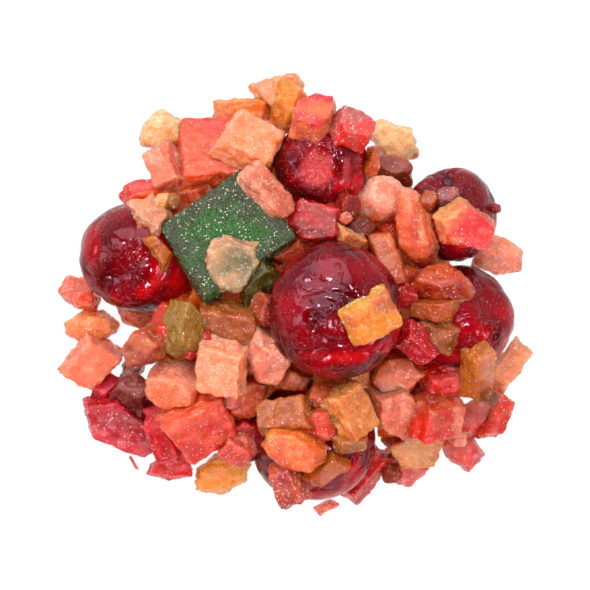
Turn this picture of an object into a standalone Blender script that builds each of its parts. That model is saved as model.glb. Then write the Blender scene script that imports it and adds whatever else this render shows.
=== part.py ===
"""A heap of mixed candied fruit, as it was tipped out on a table.

It holds six glace cherries, one square of green candied peel and about a hundred bits of diced citrus
peel and papaya. The cherries, the green square and the largest and the loose bits are solids of their own.
The small bits are fused into one lumpy mound that carries the others.

The tables are in millimetres, and MM turns them into metres. The middle of the flat underside is the
origin, and +Z is up. Bits are laid one after another, each on what is already there.
"""

import math
import zlib

import bmesh
import bpy
import numpy as np
from mathutils import Matrix
from mathutils import Vector

MM = 0.001

# The air left between two solids that touch.
GAP = 0.32

# How bits settle: how deep one sinks into those beneath, how far it may lean in degrees, the share of
# the slope beneath that it follows, the share of its underside that may press in, and the air under it.
SINK = 1.0
MOST_LEAN = 34.0
SLOPE_SHARE = 0.85
PRESSED_SHARE = 0.25
GROUND_GAP = 0.16

# Sides and lengths smaller than this count as none.
LEAST = 1e-6

# The map of heights on which the bits are laid: the size of a cell, half the side of the map, and how
# far round a bit it is read, as a share of the bit's largest half length.
CELL = 0.5
MAP_REACH = 46.0
WINDOW_SHARE = 1.6

# The core: a low mound with bays where the ground shows between the bits.
CORE_RADIUS = 28.5
CORE_HEIGHT = 13.5
CORE_RIM = 2.4
CORE_ROUND = 2.3
CORE_SPOKES = 36
CORE_RINGS = 7
CORE_LUMP = 0.7
# height of the wave, waves in a full turn, where it starts
CORE_WAVES = (
    (1.2, 3.0, 0.6),
    (0.8, 7.0, 0.0),
)
# direction in degrees, half width in degrees, depth
BAYS = (
    (197.0, 15.0, 7.0),
    (60.0, 13.0, 7.0),
    (-58.0, 10.0, 4.5),
    (9.0, 9.0, 3.0),
    (146.0, 8.0, 3.5),
    (44.0, 8.0, 3.0),
)

# Bits that lie under the ones that show: over the core, and on the ground along its rim.
FILLERS = 60
RIM_FILLERS = 44
RIM_OVERHANG = 1.6
FILLER_LENGTH = (5.5, 8.5)
RIM_FILLER_LENGTH = (4.5, 6.5)
FILLER_WIDTH_SHARE = (0.65, 0.95)
FILLER_THICKNESS = (3.5, 5.0)
FILLER_SCATTER = 0.6
FILLER_CLEAR = 1.5

# How uneven the two faces of a bit are: the shake of the upper corners, the shift of the upper face and
# how far its corners may sink.
CORNER_SHAKE = 0.05
FACE_SHIFT = 0.07
CORNER_SINK = 0.6

# form: number of corners, how square the outline is, how uneven, width of the narrower face
FORMS = {
    "square": (4, 1.0, 0.02, 0.95),
    "dice": (4, 1.0, 0.07, 0.84),
    "slab": (5, 0.8, 0.08, 0.88),
    "chunk": (6, 0.5, 0.10, 0.76),
    "wedge": (4, 0.6, 0.15, 0.62),
    "stick": (4, 1.0, 0.10, 0.72),
    "oval": (8, 0.0, 0.03, 0.70),
    "flake": (7, 0.3, 0.14, 0.86),
}

# fruit: colour in linear light, roughness
FRUITS = {
    "cherry": ((0.22, 0.004, 0.008), 0.22),
    "green": ((0.03, 0.17, 0.03), 0.40),
    "peach": ((0.86, 0.42, 0.24), 0.42),
    "salmon": ((0.78, 0.24, 0.13), 0.38),
    "orange": ((0.85, 0.25, 0.05), 0.38),
    "amber": ((0.46, 0.15, 0.03), 0.36),
    "brown": ((0.34, 0.10, 0.04), 0.40),
    "red": ((0.62, 0.04, 0.03), 0.36),
    "crimson": ((0.44, 0.01, 0.03), 0.36),
    "pink": ((0.68, 0.25, 0.21), 0.45),
    "yellow": ((0.85, 0.42, 0.03), 0.38),
    "beige": ((0.68, 0.48, 0.30), 0.45),
    "olive": ((0.28, 0.19, 0.01), 0.36),
}

# name, fruit, form, x, y, length, width, thickness, turn in degrees
# Bits on the ground, which the low cherries overhang.
GROUND = (
    ("left_salmon", "salmon", "chunk", -35.8, 0.3, 7.6, 5.6, 5.0, -30),
    ("left_oval", "peach", "oval", -34.5, -5.4, 8.8, 5.4, 4.6, 6),
    ("left_wedge", "salmon", "dice", -34.5, -11.4, 9.4, 7.4, 6.2, 53),
    ("wedge_under_cherry", "orange", "wedge", -26.2, -4.2, 9.2, 4.6, 4.0, -10),
    ("far_right_peach", "peach", "flake", 34.1, 6.7, 7.8, 6.0, 4.2, -15),
    ("peach_stick", "peach", "stick", 36.0, -11.8, 9.2, 4.4, 4.2, 52),
    ("red_lump", "red", "chunk", -21.3, -29.0, 7.6, 4.2, 4.0, 0),
    ("pink_curl", "pink", "stick", 5.3, -35.6, 4.0, 2.0, 1.8, 32),
    ("pink_flake_low", "pink", "wedge", 18.0, -29.4, 8.4, 4.8, 3.6, -26),
    ("red_point", "red", "chunk", 28.1, -26.0, 7.2, 5.8, 4.0, -44),
    ("red_long", "red", "stick", 11.7, -30.0, 11.8, 5.2, 4.8, 46),
    ("amber_under_pyramid", "amber", "chunk", -27.2, -12.0, 4.4, 4.0, 4.0, 10),
    ("bar_behind_slab", "orange", "stick", -8.6, 30.4, 10.4, 5.6, 6.0, 4),
    ("gap_orange", "orange", "chunk", -19.2, 21.9, 5.0, 8.2, 5.6, 5),
    ("low_left_red", "crimson", "chunk", -24.6, -19.6, 8.0, 6.0, 6.0, 30),
    ("low_right_red", "red", "chunk", 29.6, -20.9, 8.4, 5.8, 5.0, 48),
    ("low_dark_red", "crimson", "chunk", -7.2, -22.6, 5.0, 7.4, 7.0, 0),
    ("crimson_main", "crimson", "slab", -30.0, -21.9, 15.0, 8.0, 6.0, -32),
    ("right_red", "red", "stick", 33.6, -20.2, 9.0, 4.6, 5.0, 70),
    ("yellow_piece", "yellow", "chunk", -12.2, -30.2, 9.2, 6.4, 5.0, 4),
    ("top_left_yellow", "beige", "chunk", -22.3, 27.7, 7.8, 7.0, 6.4, 0),
    ("pale_yellow", "beige", "chunk", 16.6, 26.1, 8.8, 6.6, 4.8, -40),
    ("crimson_flap", "crimson", "stick", -31.2, -15.6, 6.6, 3.4, 3.2, 46),
    ("peach_tip", "peach", "flake", -2.6, 33.8, 8.2, 7.2, 4.2, 23),
)

# Bits on the flanks of the mound, from the lowest to the highest.
FLANK = (
    ("orange_lump", "orange", "chunk", -0.8, 31.2, 8.8, 5.2, 6.0, 66),
    ("brown_mauve", "brown", "chunk", 16.4, 21.1, 7.2, 4.6, 4.2, -8),
    ("amber_sliver", "amber", "wedge", 13.0, 22.8, 6.8, 2.8, 3.0, 78),
    ("red_curl", "red", "stick", -23.2, 17.0, 12.4, 4.6, 5.0, 8),
    ("fibrous_salmon", "salmon", "stick", -21.8, 21.6, 9.8, 5.4, 4.6, -58),
    ("big_slab", "salmon", "dice", -11.2, 23.8, 16.8, 12.6, 6.4, 1),
    ("peach_square", "peach", "dice", -7.9, 25.2, 9.8, 9.2, 4.8, -34),
    ("pink_salmon", "salmon", "chunk", 3.1, 30.0, 8.4, 7.2, 6.0, 62),
    ("red_orange_lump", "red", "chunk", 9.2, 27.5, 7.6, 6.4, 5.4, -32),
    ("brown_orange", "brown", "dice", -16.8, 15.4, 7.6, 5.0, 4.4, 12),
    ("olive_green", "olive", "wedge", -7.0, 1.8, 9.0, 5.6, 5.0, 42),
    ("peach_sliver", "brown", "stick", -0.4, 7.6, 7.0, 3.8, 4.0, 30),
    ("dark_slab", "crimson", "slab", 3.2, 12.0, 10.4, 7.0, 4.4, -5),
    ("brown_by_cherry", "brown", "chunk", 8.8, 14.8, 4.4, 5.0, 3.2, 10),
    ("dark_brown", "brown", "chunk", 10.8, 10.8, 6.0, 4.4, 3.6, -10),
    ("beige_wedge", "beige", "wedge", 9.0, 9.0, 6.4, 3.6, 3.2, -26),
    ("small_pink", "pink", "chunk", 8.2, 12.6, 2.4, 2.8, 2.0, 60),
    ("low_salmon_right", "brown", "stick", 18.2, 2.4, 6.4, 4.2, 5.0, 82),
    ("low_deep_red", "crimson", "chunk", 18.4, 0.2, 5.0, 4.0, 4.0, 0),
    ("pale_pink_lump", "peach", "chunk", 14.2, 15.6, 8.8, 7.8, 6.8, -20),
    ("brown_long", "amber", "stick", 15.3, 6.1, 11.8, 4.7, 4.4, -70),
    ("almond", "salmon", "oval", 19.8, 10.6, 13.8, 6.8, 5.0, -78),
    ("amber_bit", "amber", "chunk", 22.2, 15.6, 3.6, 3.4, 2.8, 20),
    ("olive_amber", "amber", "slab", 22.8, -6.4, 7.8, 5.4, 4.2, -14),
    ("amber_bar", "amber", "stick", 22.8, -2.4, 8.4, 4.2, 4.2, -5),
    ("amber_wrinkled", "amber", "chunk", 24.6, 2.0, 10.2, 6.6, 5.0, -6),
    ("brown_salmon", "brown", "chunk", -24.9, -8.4, 8.2, 6.4, 5.6, 30),
    ("olive_yellow", "olive", "chunk", -18.0, -5.8, 9.8, 6.2, 6.4, 82),
    ("amber_clear", "amber", "dice", -10.4, -5.6, 10.4, 9.6, 5.0, 5),
    ("crinkled_brown", "brown", "chunk", -4.8, -2.8, 6.4, 4.6, 4.0, 80),
    ("red_crumb_a", "red", "chunk", -14.8, -7.2, 2.4, 2.2, 2.0, 0),
    ("red_crumb_b", "red", "chunk", -17.2, -9.8, 2.4, 2.2, 2.0, 40),
    ("dusty_pink", "pink", "chunk", -4.6, -10.5, 9.4, 7.4, 6.6, 84),
    ("mauve_pyramid", "brown", "wedge", -26.6, -16.4, 8.8, 7.2, 6.0, -24),
    ("crimson_right", "crimson", "stick", -22.2, -23.2, 9.6, 5.4, 6.0, -70),
    ("salmon_lump", "salmon", "chunk", -19.8, -15.0, 10.2, 7.8, 7.0, -12),
    ("red_salmon_slab", "salmon", "dice", -15.2, -21.7, 12.4, 10.8, 6.4, 34),
    ("salmon_lobe", "salmon", "chunk", -8.6, -17.2, 7.8, 6.0, 5.0, 70),
    ("pink_crumple", "pink", "chunk", -10.4, -17.8, 3.0, 3.0, 2.4, 0),
    ("peach_cube", "peach", "dice", -12.3, -11.8, 9.2, 8.8, 6.2, -14),
    ("pink_mauve", "pink", "chunk", -9.2, -26.2, 6.4, 5.2, 4.6, -30),
    ("brown_pink", "pink", "stick", -1.4, -31.4, 9.2, 5.4, 4.6, -72),
    ("amber_behind", "amber", "dice", -1.6, -19.8, 10.0, 6.4, 5.0, 6),
    ("brown_wedge", "brown", "wedge", 0.4, -14.0, 6.6, 5.0, 4.4, -12),
    ("brown_area", "brown", "slab", 5.0, -16.8, 8.0, 6.6, 4.4, 20),
    ("salmon_bits", "salmon", "chunk", 4.2, -21.6, 5.0, 6.0, 3.6, 10),
    ("orange_wrinkled", "orange", "chunk", -0.3, -25.2, 10.8, 7.4, 5.4, -22),
    ("amber_small", "amber", "stick", 5.2, -29.2, 8.2, 3.8, 3.2, 40),
    ("peach_ledge", "peach", "stick", 10.2, -13.6, 6.4, 4.0, 3.6, -5),
    ("yellow_peach", "yellow", "dice", 9.2, -19.2, 9.0, 6.8, 5.0, -62),
    ("salmon_clear", "salmon", "chunk", 16.6, -12.8, 9.6, 8.6, 6.0, 32),
    ("salmon_fibrous", "salmon", "slab", 16.2, -18.7, 10.2, 8.0, 5.2, -32),
    ("sugared_beige", "beige", "slab", 19.8, -25.6, 10.0, 6.6, 5.2, -12),
    ("red_pink_wedge", "red", "wedge", 25.2, -14.5, 10.8, 7.0, 5.0, 5),
    ("amber_tall", "amber", "stick", 30.4, -13.7, 11.6, 4.8, 6.0, 96),
    ("brown_red_square", "salmon", "dice", 23.6, -20.2, 8.4, 7.8, 6.0, -5),
)

# Bits on top, laid once the middle cherry is in.
TOP = (
    ("green_square", "green", "square", -11.4, 9.8, 18.6, 14.8, 5.2, 35),
    ("crimson_crumple", "crimson", "stick", 20.0, -8.2, 8.2, 4.6, 4.2, -46),
    ("cherry_flake", "brown", "flake", -23.8, 13.0, 7.2, 6.2, 3.0, -20),
    ("amber_strip", "amber", "stick", -22.4, 7.2, 6.8, 3.2, 2.6, -52),
    ("mauve_crystal", "pink", "chunk", 25.2, 16.4, 4.2, 3.8, 2.2, 15),
    ("red_peach_piece", "red", "slab", 28.0, 11.4, 10.8, 8.0, 4.6, -22),
    ("pink_rod", "pink", "square", -4.7, 16.9, 10.4, 4.5, 4.2, -47),
    ("beige_flake", "beige", "flake", -10.0, 5.4, 9.6, 8.6, 2.2, 20),
    ("yellow_chip", "yellow", "dice", 12.4, -3.4, 9.2, 7.2, 2.4, 26),
    ("amber_chip", "amber", "stick", 9.2, -24.6, 6.0, 3.4, 2.4, 6),
)

# The largest and the loose bits, which are solids of their own.
OWN_NODES = (
    "left_salmon",
    "left_oval",
    "left_wedge",
    "far_right_peach",
    "peach_stick",
    "red_lump",
    "pink_curl",
    "red_long",
    "yellow_piece",
    "right_red",
    "big_slab",
    "peach_square",
    "almond",
    "pale_pink_lump",
    "crimson_main",
    "salmon_lump",
    "red_salmon_slab",
    "peach_cube",
    "orange_wrinkled",
    "brown_red_square",
    "amber_wrinkled",
    "green_square",
    "cherry_flake",
    "amber_strip",
    "mauve_crystal",
    "red_peach_piece",
    "pink_rod",
    "beige_flake",
    "yellow_chip",
    "amber_chip",
    "amber_under_pyramid",
    "pink_flake_low",
    "red_point",
    "low_right_red",
    "top_left_yellow",
    "pale_yellow",
    "amber_sliver",
    "pink_salmon",
    "red_orange_lump",
    "peach_sliver",
    "brown_by_cherry",
    "amber_bit",
    "crimson_flap",
    "pink_mauve",
    "brown_pink",
    "amber_small",
    "red_curl",
    "fibrous_salmon",
    "brown_orange",
    "bar_behind_slab",
    "peach_tip",
    "orange_lump",
    "amber_tall",
)

# How often the twenty triangles that a cherry starts from are split in four.
CHERRY_ROUNDS = 2

# name, x, y, z, radii along x, y and z, dents
# A dent is its azimuth and its angle from straight up in degrees, its depth and its half width in degrees.
LOW_CHERRIES = (
    ("cherry_left", -26.0, 6.4, 9.0, 10.2, 9.5, 8.8, ((215.0, 28.0, 1.8, 26.0), (20.0, 80.0, 0.8, 30.0))),
    ("cherry_top", 4.5, 21.6, 11.4, 8.1, 7.7, 7.6, ((200.0, 8.0, 2.0, 24.0),)),
    ("cherry_top_right", 26.2, 13.5, 9.0, 7.8, 8.1, 7.4, ((102.0, 48.0, 2.0, 24.0),)),
    ("cherry_right", 27.8, -3.9, 8.8, 9.0, 9.0, 8.4, ((30.0, 40.0, 1.2, 26.0),)),
    ("cherry_bottom", 3.0, -24.2, 9.1, 10.7, 10.6, 8.8, ((270.0, 58.0, 1.2, 30.0),)),
)
MIDDLE_CHERRIES = (
    (
        "cherry_middle", 6.7, -2.7, 21.4, 11.2, 11.3, 8.4,
        ((270.0, 36.0, 1.6, 24.0), (110.0, 30.0, 0.9, 26.0)),
    ),
)


def draw_of(name):
    """The seeded random draw that belongs to one bit."""
    return np.random.default_rng(zlib.crc32(name.encode()))


def corner_points(form, length, width, thickness, draw):
    """The corners of one bit: an upper and a lower ring with the bit's true length, width and thickness."""
    count, square, uneven, narrow = FORMS[form]
    angles = (np.arange(count) + 0.5) * 2.0 * math.pi / count
    angles = angles + draw.normal(0.0, uneven, count)
    box = 1.0 / np.maximum(abs(np.cos(angles)), abs(np.sin(angles)))
    radii = (1.0 - square + square * box) * (1.0 + draw.normal(0.0, uneven, count))
    ring = np.stack([radii * np.cos(angles), radii * np.sin(angles)], axis=1)
    upper = ring * (narrow + draw.normal(0.0, CORNER_SHAKE, (count, 1)))
    upper = upper + draw.normal(0.0, FACE_SHIFT, 2)
    upper_z = 0.5 - CORNER_SINK * draw.random(count) * (1.0 - narrow)
    lower_z = -0.5 + CORNER_SINK * draw.random(count) * (1.0 - narrow)
    points = np.vstack([np.column_stack([upper, upper_z]), np.column_stack([ring, lower_z])])
    low = points.min(axis=0)
    high = points.max(axis=0)
    points = (points - (low + high) / 2.0) / (high - low)
    return points * np.array([length, width, thickness])


def hull_of(points):
    """The convex skin round a set of points: its vertices and its triangles."""
    skin = bmesh.new()
    for point in points:
        skin.verts.new(point)
    made = bmesh.ops.convex_hull(skin, input=list(skin.verts))
    inner = [item for item in made["geom_interior"] if isinstance(item, bmesh.types.BMVert)]
    bmesh.ops.delete(skin, geom=inner, context="VERTS")
    bmesh.ops.triangulate(skin, faces=list(skin.faces))
    bmesh.ops.recalc_face_normals(skin, faces=list(skin.faces))
    skin.verts.index_update()
    vertices = np.array([vertex.co[:] for vertex in skin.verts])
    triangles = [[vertex.index for vertex in face.verts] for face in skin.faces]
    skin.free()
    return vertices, triangles


def planes_of(vertices, triangles):
    """The outward normal and the distance from the middle of each face's plane."""
    corners = vertices[np.array(triangles)]
    normals = np.cross(corners[:, 1] - corners[:, 0], corners[:, 2] - corners[:, 0])
    normals = normals / np.linalg.norm(normals, axis=1, keepdims=True)
    distances = np.einsum("ij,ij->i", normals, corners[:, 0])
    return normals, distances


def spans_of(normals, distances, across, along):
    """The underside and the top of a convex bit above each cell, and which cells it covers."""
    top = np.full(across.shape, np.inf)
    under = np.full(across.shape, -np.inf)
    covered = np.ones(across.shape, bool)
    for normal, distance in zip(normals, distances):
        side = distance - normal[0] * across - normal[1] * along
        if normal[2] > LEAST:
            top = np.minimum(top, side / normal[2])
        elif normal[2] < -LEAST:
            under = np.maximum(under, side / normal[2])
        else:
            covered &= side >= 0.0
    return under, top, covered & (top > under)


class HeightMap:
    """How high the heap stands over each cell of the ground."""

    def __init__(self):
        line = np.arange(-MAP_REACH, MAP_REACH + CELL, CELL)
        self.x, self.y = np.meshgrid(line, line)
        self.core = np.zeros_like(self.x)
        self.z = np.zeros_like(self.x)

    def window(self, x, y, reach):
        first = max(0, int((x - reach + MAP_REACH) / CELL))
        last = int((x + reach + MAP_REACH) / CELL) + 2
        low = max(0, int((y - reach + MAP_REACH) / CELL))
        high = int((y + reach + MAP_REACH) / CELL) + 2
        return slice(low, high), slice(first, last)

    def put_core(self):
        radius = np.hypot(self.x, self.y)
        share = radius / core_reach(np.arctan2(self.y, self.x))
        rise = CORE_RIM + (CORE_HEIGHT - CORE_RIM) * (1.0 - np.clip(share, 0.0, 1.0) ** CORE_ROUND)
        self.core = np.where(share < 1.0, rise, 0.0)
        self.z = self.core.copy()

    def bare(self, x, y):
        """Whether nothing lies on the core or the ground at a place yet."""
        window = self.window(x, y, CELL)
        return bool(np.all(self.z[window] == self.core[window]))

    def put_cherry(self, x, y, z, radii):
        share = ((self.x - x) / radii[0]) ** 2 + ((self.y - y) / radii[1]) ** 2
        top = z + radii[2] * np.sqrt(np.clip(1.0 - share, 0.0, 1.0))
        self.z = np.where(share < 1.0, np.maximum(self.z, top), self.z)

    def slope_under(self, window, covered):
        """The slope of the plane that fits the heights under a bit best."""
        across = self.x[window][covered]
        along = self.y[window][covered]
        columns = np.column_stack([across - across.mean(), along - along.mean(), np.ones(across.size)])
        fit = np.linalg.lstsq(columns, self.z[window][covered], rcond=None)[0]
        return fit[0], fit[1]

    def lay(self, vertices, triangles, x, y, turn):
        """Lays a bit on the heap and returns the matrix that puts it there."""
        spin = Matrix.Rotation(math.radians(turn), 3, "Z")
        reach = np.abs(vertices).max() * WINDOW_SHARE
        window = self.window(x, y, reach)
        across = self.x[window] - x
        along = self.y[window] - y
        turned = vertices @ np.array(spin).T
        covered = spans_of(*planes_of(turned, triangles), across, along)[2]
        slope = self.slope_under(window, covered)
        lean = math.atan(math.hypot(*slope)) * SLOPE_SHARE
        lean = min(lean, math.radians(MOST_LEAN))
        axis = Vector((slope[1], -slope[0], 0.0))
        tip = Matrix.Identity(3)
        if axis.length > LEAST:
            tip = Matrix.Rotation(lean, 3, axis)
        posed = turned @ np.array(tip).T
        under, top, covered = spans_of(*planes_of(posed, triangles), across, along)
        wanted = (self.z[window] - under)[covered]
        height = np.quantile(wanted, 1.0 - PRESSED_SHARE) - SINK
        height = max(height, GROUND_GAP - posed[:, 2].min())
        raised = np.maximum(self.z[window], top + height)
        self.z[window] = np.where(covered, raised, self.z[window])
        return Matrix.Translation((x, y, height)) @ (tip @ spin).to_4x4()


def core_reach(angle):
    """How far the core reaches in a direction, with its waves and bays."""
    reach = CORE_RADIUS
    for high, turns, start in CORE_WAVES:
        reach = reach + high * np.sin(turns * angle + start)
    for direction, half_width, depth in BAYS:
        off = (angle - math.radians(direction) + math.pi) % (2.0 * math.pi) - math.pi
        reach = reach - depth * np.exp(-(off / math.radians(half_width)) ** 2)
    return reach


def mesh_object(name, vertices, triangles, fruit, smooth=False):
    """A mesh object from points in millimetres, with a material of its own."""
    mesh = bpy.data.meshes.new(name)
    mesh.from_pydata([tuple(point) for point in np.asarray(vertices) * MM], [], triangles)
    mesh.update()
    made = bpy.data.objects.new(name, mesh)
    bpy.context.scene.collection.objects.link(made)
    made.data.materials.append(fruit_material(name, fruit))
    if smooth:
        made.data.shade_smooth()
    return made


def fruit_material(name, fruit):
    colour, roughness = FRUITS[fruit]
    material = bpy.data.materials.new(name)
    material.use_nodes = True
    shader = material.node_tree.nodes["Principled BSDF"]
    shader.inputs["Base Color"].default_value = (*colour, 1.0)
    shader.inputs["Roughness"].default_value = roughness
    shader.inputs["Metallic"].default_value = 0.0
    return material


def core_mesh():
    """The core: rings of points from a flat rim up to the crown, with a flat underside."""
    draw = draw_of("core")
    points = []
    angles = np.arange(CORE_SPOKES) * 2.0 * math.pi / CORE_SPOKES
    reach = core_reach(angles)
    for ring in range(CORE_RINGS):
        share = 1.0 - ring / CORE_RINGS
        height = CORE_RIM + (CORE_HEIGHT - CORE_RIM) * (1.0 - share ** CORE_ROUND)
        lump = draw.normal(0.0, CORE_LUMP, CORE_SPOKES) * (ring > 0)
        for spoke in range(CORE_SPOKES):
            x = share * reach[spoke] * math.cos(angles[spoke])
            y = share * reach[spoke] * math.sin(angles[spoke])
            points.append((x, y, height + lump[spoke]))
    crown = len(points)
    points.append((0.0, 0.0, CORE_HEIGHT))
    foot = len(points)
    for spoke in range(CORE_SPOKES):
        points.append((points[spoke][0], points[spoke][1], 0.0))
    middle = len(points)
    points.append((0.0, 0.0, 0.0))
    triangles = []
    for spoke in range(CORE_SPOKES):
        after = (spoke + 1) % CORE_SPOKES
        for ring in range(CORE_RINGS - 1):
            here = ring * CORE_SPOKES
            above = here + CORE_SPOKES
            triangles.append((here + spoke, here + after, above + after))
            triangles.append((here + spoke, above + after, above + spoke))
        last = (CORE_RINGS - 1) * CORE_SPOKES
        triangles.append((last + spoke, last + after, crown))
        triangles.append((foot + spoke, foot + after, after))
        triangles.append((foot + spoke, after, spoke))
        triangles.append((middle, foot + after, foot + spoke))
    return points, triangles


def cherry_mesh(x, y, z, radii, dents, grow):
    """A cherry: a ball pressed to its radii, with dents where the stone and the stalk were."""
    ball = bmesh.new()
    bmesh.ops.create_icosphere(ball, subdivisions=CHERRY_ROUNDS + 1, radius=1.0)
    ball.verts.index_update()
    ways = np.array([vertex.co[:] for vertex in ball.verts])
    triangles = [[vertex.index for vertex in face.verts] for face in ball.faces]
    ball.free()
    ways = ways / np.linalg.norm(ways, axis=1, keepdims=True)
    depth = np.zeros(len(ways))
    for azimuth, from_up, deep, half_width in dents:
        across = math.sin(math.radians(from_up))
        toward = np.array([
            across * math.cos(math.radians(azimuth)),
            across * math.sin(math.radians(azimuth)),
            math.cos(math.radians(from_up)),
        ])
        off = np.arccos(np.clip(ways @ toward, -1.0, 1.0))
        depth += deep * np.exp(-(off / math.radians(half_width)) ** 2)
    points = ways * (np.array(radii) + grow) - ways * depth[:, None]
    return points + np.array([x, y, z]), triangles


def lay_bits(table, heights, laid):
    """Lays the bits of one table and keeps each one's pose."""
    for name, fruit, form, x, y, length, width, thickness, turn in table:
        points = corner_points(form, length, width, thickness, draw_of(name))
        vertices, triangles = hull_of(points)
        pose = heights.lay(vertices, triangles, x, y, turn)
        laid.append((name, fruit, form, (length, width, thickness), pose))


def clear_of_cherries(x, y):
    """Whether a place is far enough from every low cherry for a bit to lie beside it."""
    shares = [
        math.hypot((x - middle_x) / (radii[0] + FILLER_CLEAR), (y - middle_y) / (radii[1] + FILLER_CLEAR))
        for name, middle_x, middle_y, z, *radii, dents in LOW_CHERRIES
    ]
    return min(shares) > 1.0


def filler_table(heights):
    """Bits strewn evenly over the bare core and along its rim, clear of the low cherries."""
    draw = draw_of("fillers")
    golden = math.pi * (3.0 - math.sqrt(5.0))
    places = []
    for index in range(FILLERS):
        angle = index * golden
        radius = math.sqrt((index + 0.5) / FILLERS) * core_reach(angle)
        places.append((angle, radius, FILLER_LENGTH))
    for index in range(RIM_FILLERS):
        angle = (index + 0.5) * 2.0 * math.pi / RIM_FILLERS
        places.append((angle, core_reach(angle) + RIM_OVERHANG, RIM_FILLER_LENGTH))
    rows = []
    for index, (angle, radius, lengths) in enumerate(places):
        x = radius * math.cos(angle) + draw.normal(0.0, FILLER_SCATTER)
        y = radius * math.sin(angle) + draw.normal(0.0, FILLER_SCATTER)
        length = draw.uniform(*lengths)
        width = length * draw.uniform(*FILLER_WIDTH_SHARE)
        thickness = draw.uniform(*FILLER_THICKNESS)
        turn = draw.uniform(0.0, 180.0)
        form = "dice" if index % 2 else "chunk"
        if clear_of_cherries(x, y) and heights.bare(x, y):
            rows.append((f"filler_{index:02d}", "salmon", form, x, y, length, width, thickness, turn))
    return rows


def bit_object(name, fruit, form, size, pose, grow):
    """One bit as an object where it was laid, grown on every side."""
    points = corner_points(form, *size, draw_of(name))
    points = points * (np.array(size) + 2.0 * grow) / np.array(size)
    vertices, triangles = hull_of(points)
    placed = [pose @ Vector(vertex) for vertex in vertices]
    return mesh_object(name, placed, triangles, fruit)


def apply_boolean(target, operation, name, others):
    """Joins other objects to a target, or cuts them out of it, and removes them."""
    if not others:
        return
    group = bpy.data.collections.new(name)
    bpy.context.scene.collection.children.link(group)
    for other in others:
        group.objects.link(other)
    change = target.modifiers.new(name, "BOOLEAN")
    change.operation = operation
    change.operand_type = "COLLECTION"
    change.collection = group
    change.solver = "EXACT"
    view = bpy.context.evaluated_depsgraph_get()
    mesh = bpy.data.meshes.new_from_object(target.evaluated_get(view))
    target.modifiers.clear()
    old = target.data
    target.data = mesh
    bpy.data.meshes.remove(old)
    for other in others:
        remove_object(other)
    bpy.data.collections.remove(group)


def remove_object(item):
    mesh = item.data
    materials = list(mesh.materials)
    bpy.data.objects.remove(item)
    bpy.data.meshes.remove(mesh)
    for material in materials:
        if material and not material.users:
            bpy.data.materials.remove(material)


def keep_largest_body(target):
    """Drops loose scraps, and fills sealed hollows by dropping their walls."""
    shape = bmesh.new()
    shape.from_mesh(target.data)
    bmesh.ops.triangulate(shape, faces=list(shape.faces))
    left = set(shape.verts)
    islands = []
    while left:
        start = left.pop()
        island = {start}
        edge_of_island = [start]
        while edge_of_island:
            vertex = edge_of_island.pop()
            for edge in vertex.link_edges:
                other = edge.other_vert(vertex)
                if other in left:
                    left.discard(other)
                    island.add(other)
                    edge_of_island.append(other)
        islands.append(island)
    volumes = []
    for island in islands:
        faces = {face for vertex in island for face in vertex.link_faces}
        volume = 0.0
        for face in faces:
            first, second, third = (vertex.co for vertex in face.verts)
            volume += first.dot(second.cross(third)) / 6.0
        volumes.append(volume)
    best = int(np.argmax(volumes))
    loose = [vertex for index, island in enumerate(islands) if index != best for vertex in island]
    bmesh.ops.delete(shape, geom=loose, context="VERTS")
    shape.to_mesh(target.data)
    shape.free()
    target.data.update()


def boxes_meet(first, second):
    """Whether the boxes round two objects meet, with room for the gap."""
    low_a, high_a = box_of(first)
    low_b, high_b = box_of(second)
    room = 2.0 * GAP * MM
    return bool(np.all(low_a - room < high_b) and np.all(low_b - room < high_a))


def box_of(item):
    points = np.array([vertex.co[:] for vertex in item.data.vertices])
    return points.min(axis=0), points.max(axis=0)


def lay_everything():
    """Lays all the bits in order, from the ground up, and gives their poses."""
    heights = HeightMap()
    heights.put_core()
    laid = []
    lay_bits(GROUND, heights, laid)
    lay_bits(filler_table(heights), heights, laid)
    for name, x, y, z, *radii, dents in LOW_CHERRIES:
        heights.put_cherry(x, y, z, radii)
    lay_bits(FLANK, heights, laid)
    for name, x, y, z, *radii, dents in MIDDLE_CHERRIES:
        heights.put_cherry(x, y, z, radii)
    lay_bits(TOP, heights, laid)
    return laid


def make_cherries():
    for name, x, y, z, *radii, dents in LOW_CHERRIES + MIDDLE_CHERRIES:
        points, triangles = cherry_mesh(x, y, z, radii, dents, 0.0)
        mesh_object(name, points, triangles, "cherry", smooth=True)


def cherry_cutters():
    """Plain balls a gap larger than the cherries."""
    return [
        mesh_object("cutter", *cherry_mesh(x, y, z, radii, (), GAP), "cherry")
        for name, x, y, z, *radii, dents in LOW_CHERRIES + MIDDLE_CHERRIES
    ]


def make_own_solid(bit, above):
    """One bit as a solid of its own, hollowed where a cherry or a bit above it presses in."""
    solid = bit_object(*bit, 0.0)
    cutters = cherry_cutters() + [bit_object(*other, GAP) for other in above]
    near = [cutter for cutter in cutters if boxes_meet(solid, cutter)]
    for cutter in cutters:
        if cutter not in near:
            remove_object(cutter)
    apply_boolean(solid, "DIFFERENCE", "hollow", near)
    keep_largest_body(solid)


def make_heap(small, own):
    """The mound: the core and the small bits in one, hollowed for the cherries and the single bits."""
    heap = mesh_object("fruit_heap", *core_mesh(), "salmon")
    apply_boolean(heap, "UNION", "join", [bit_object(*bit, 0.0) for bit in small])
    keep_largest_body(heap)
    apply_boolean(heap, "DIFFERENCE", "hollow", cherry_cutters() + [bit_object(*bit, GAP) for bit in own])
    keep_largest_body(heap)


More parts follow.
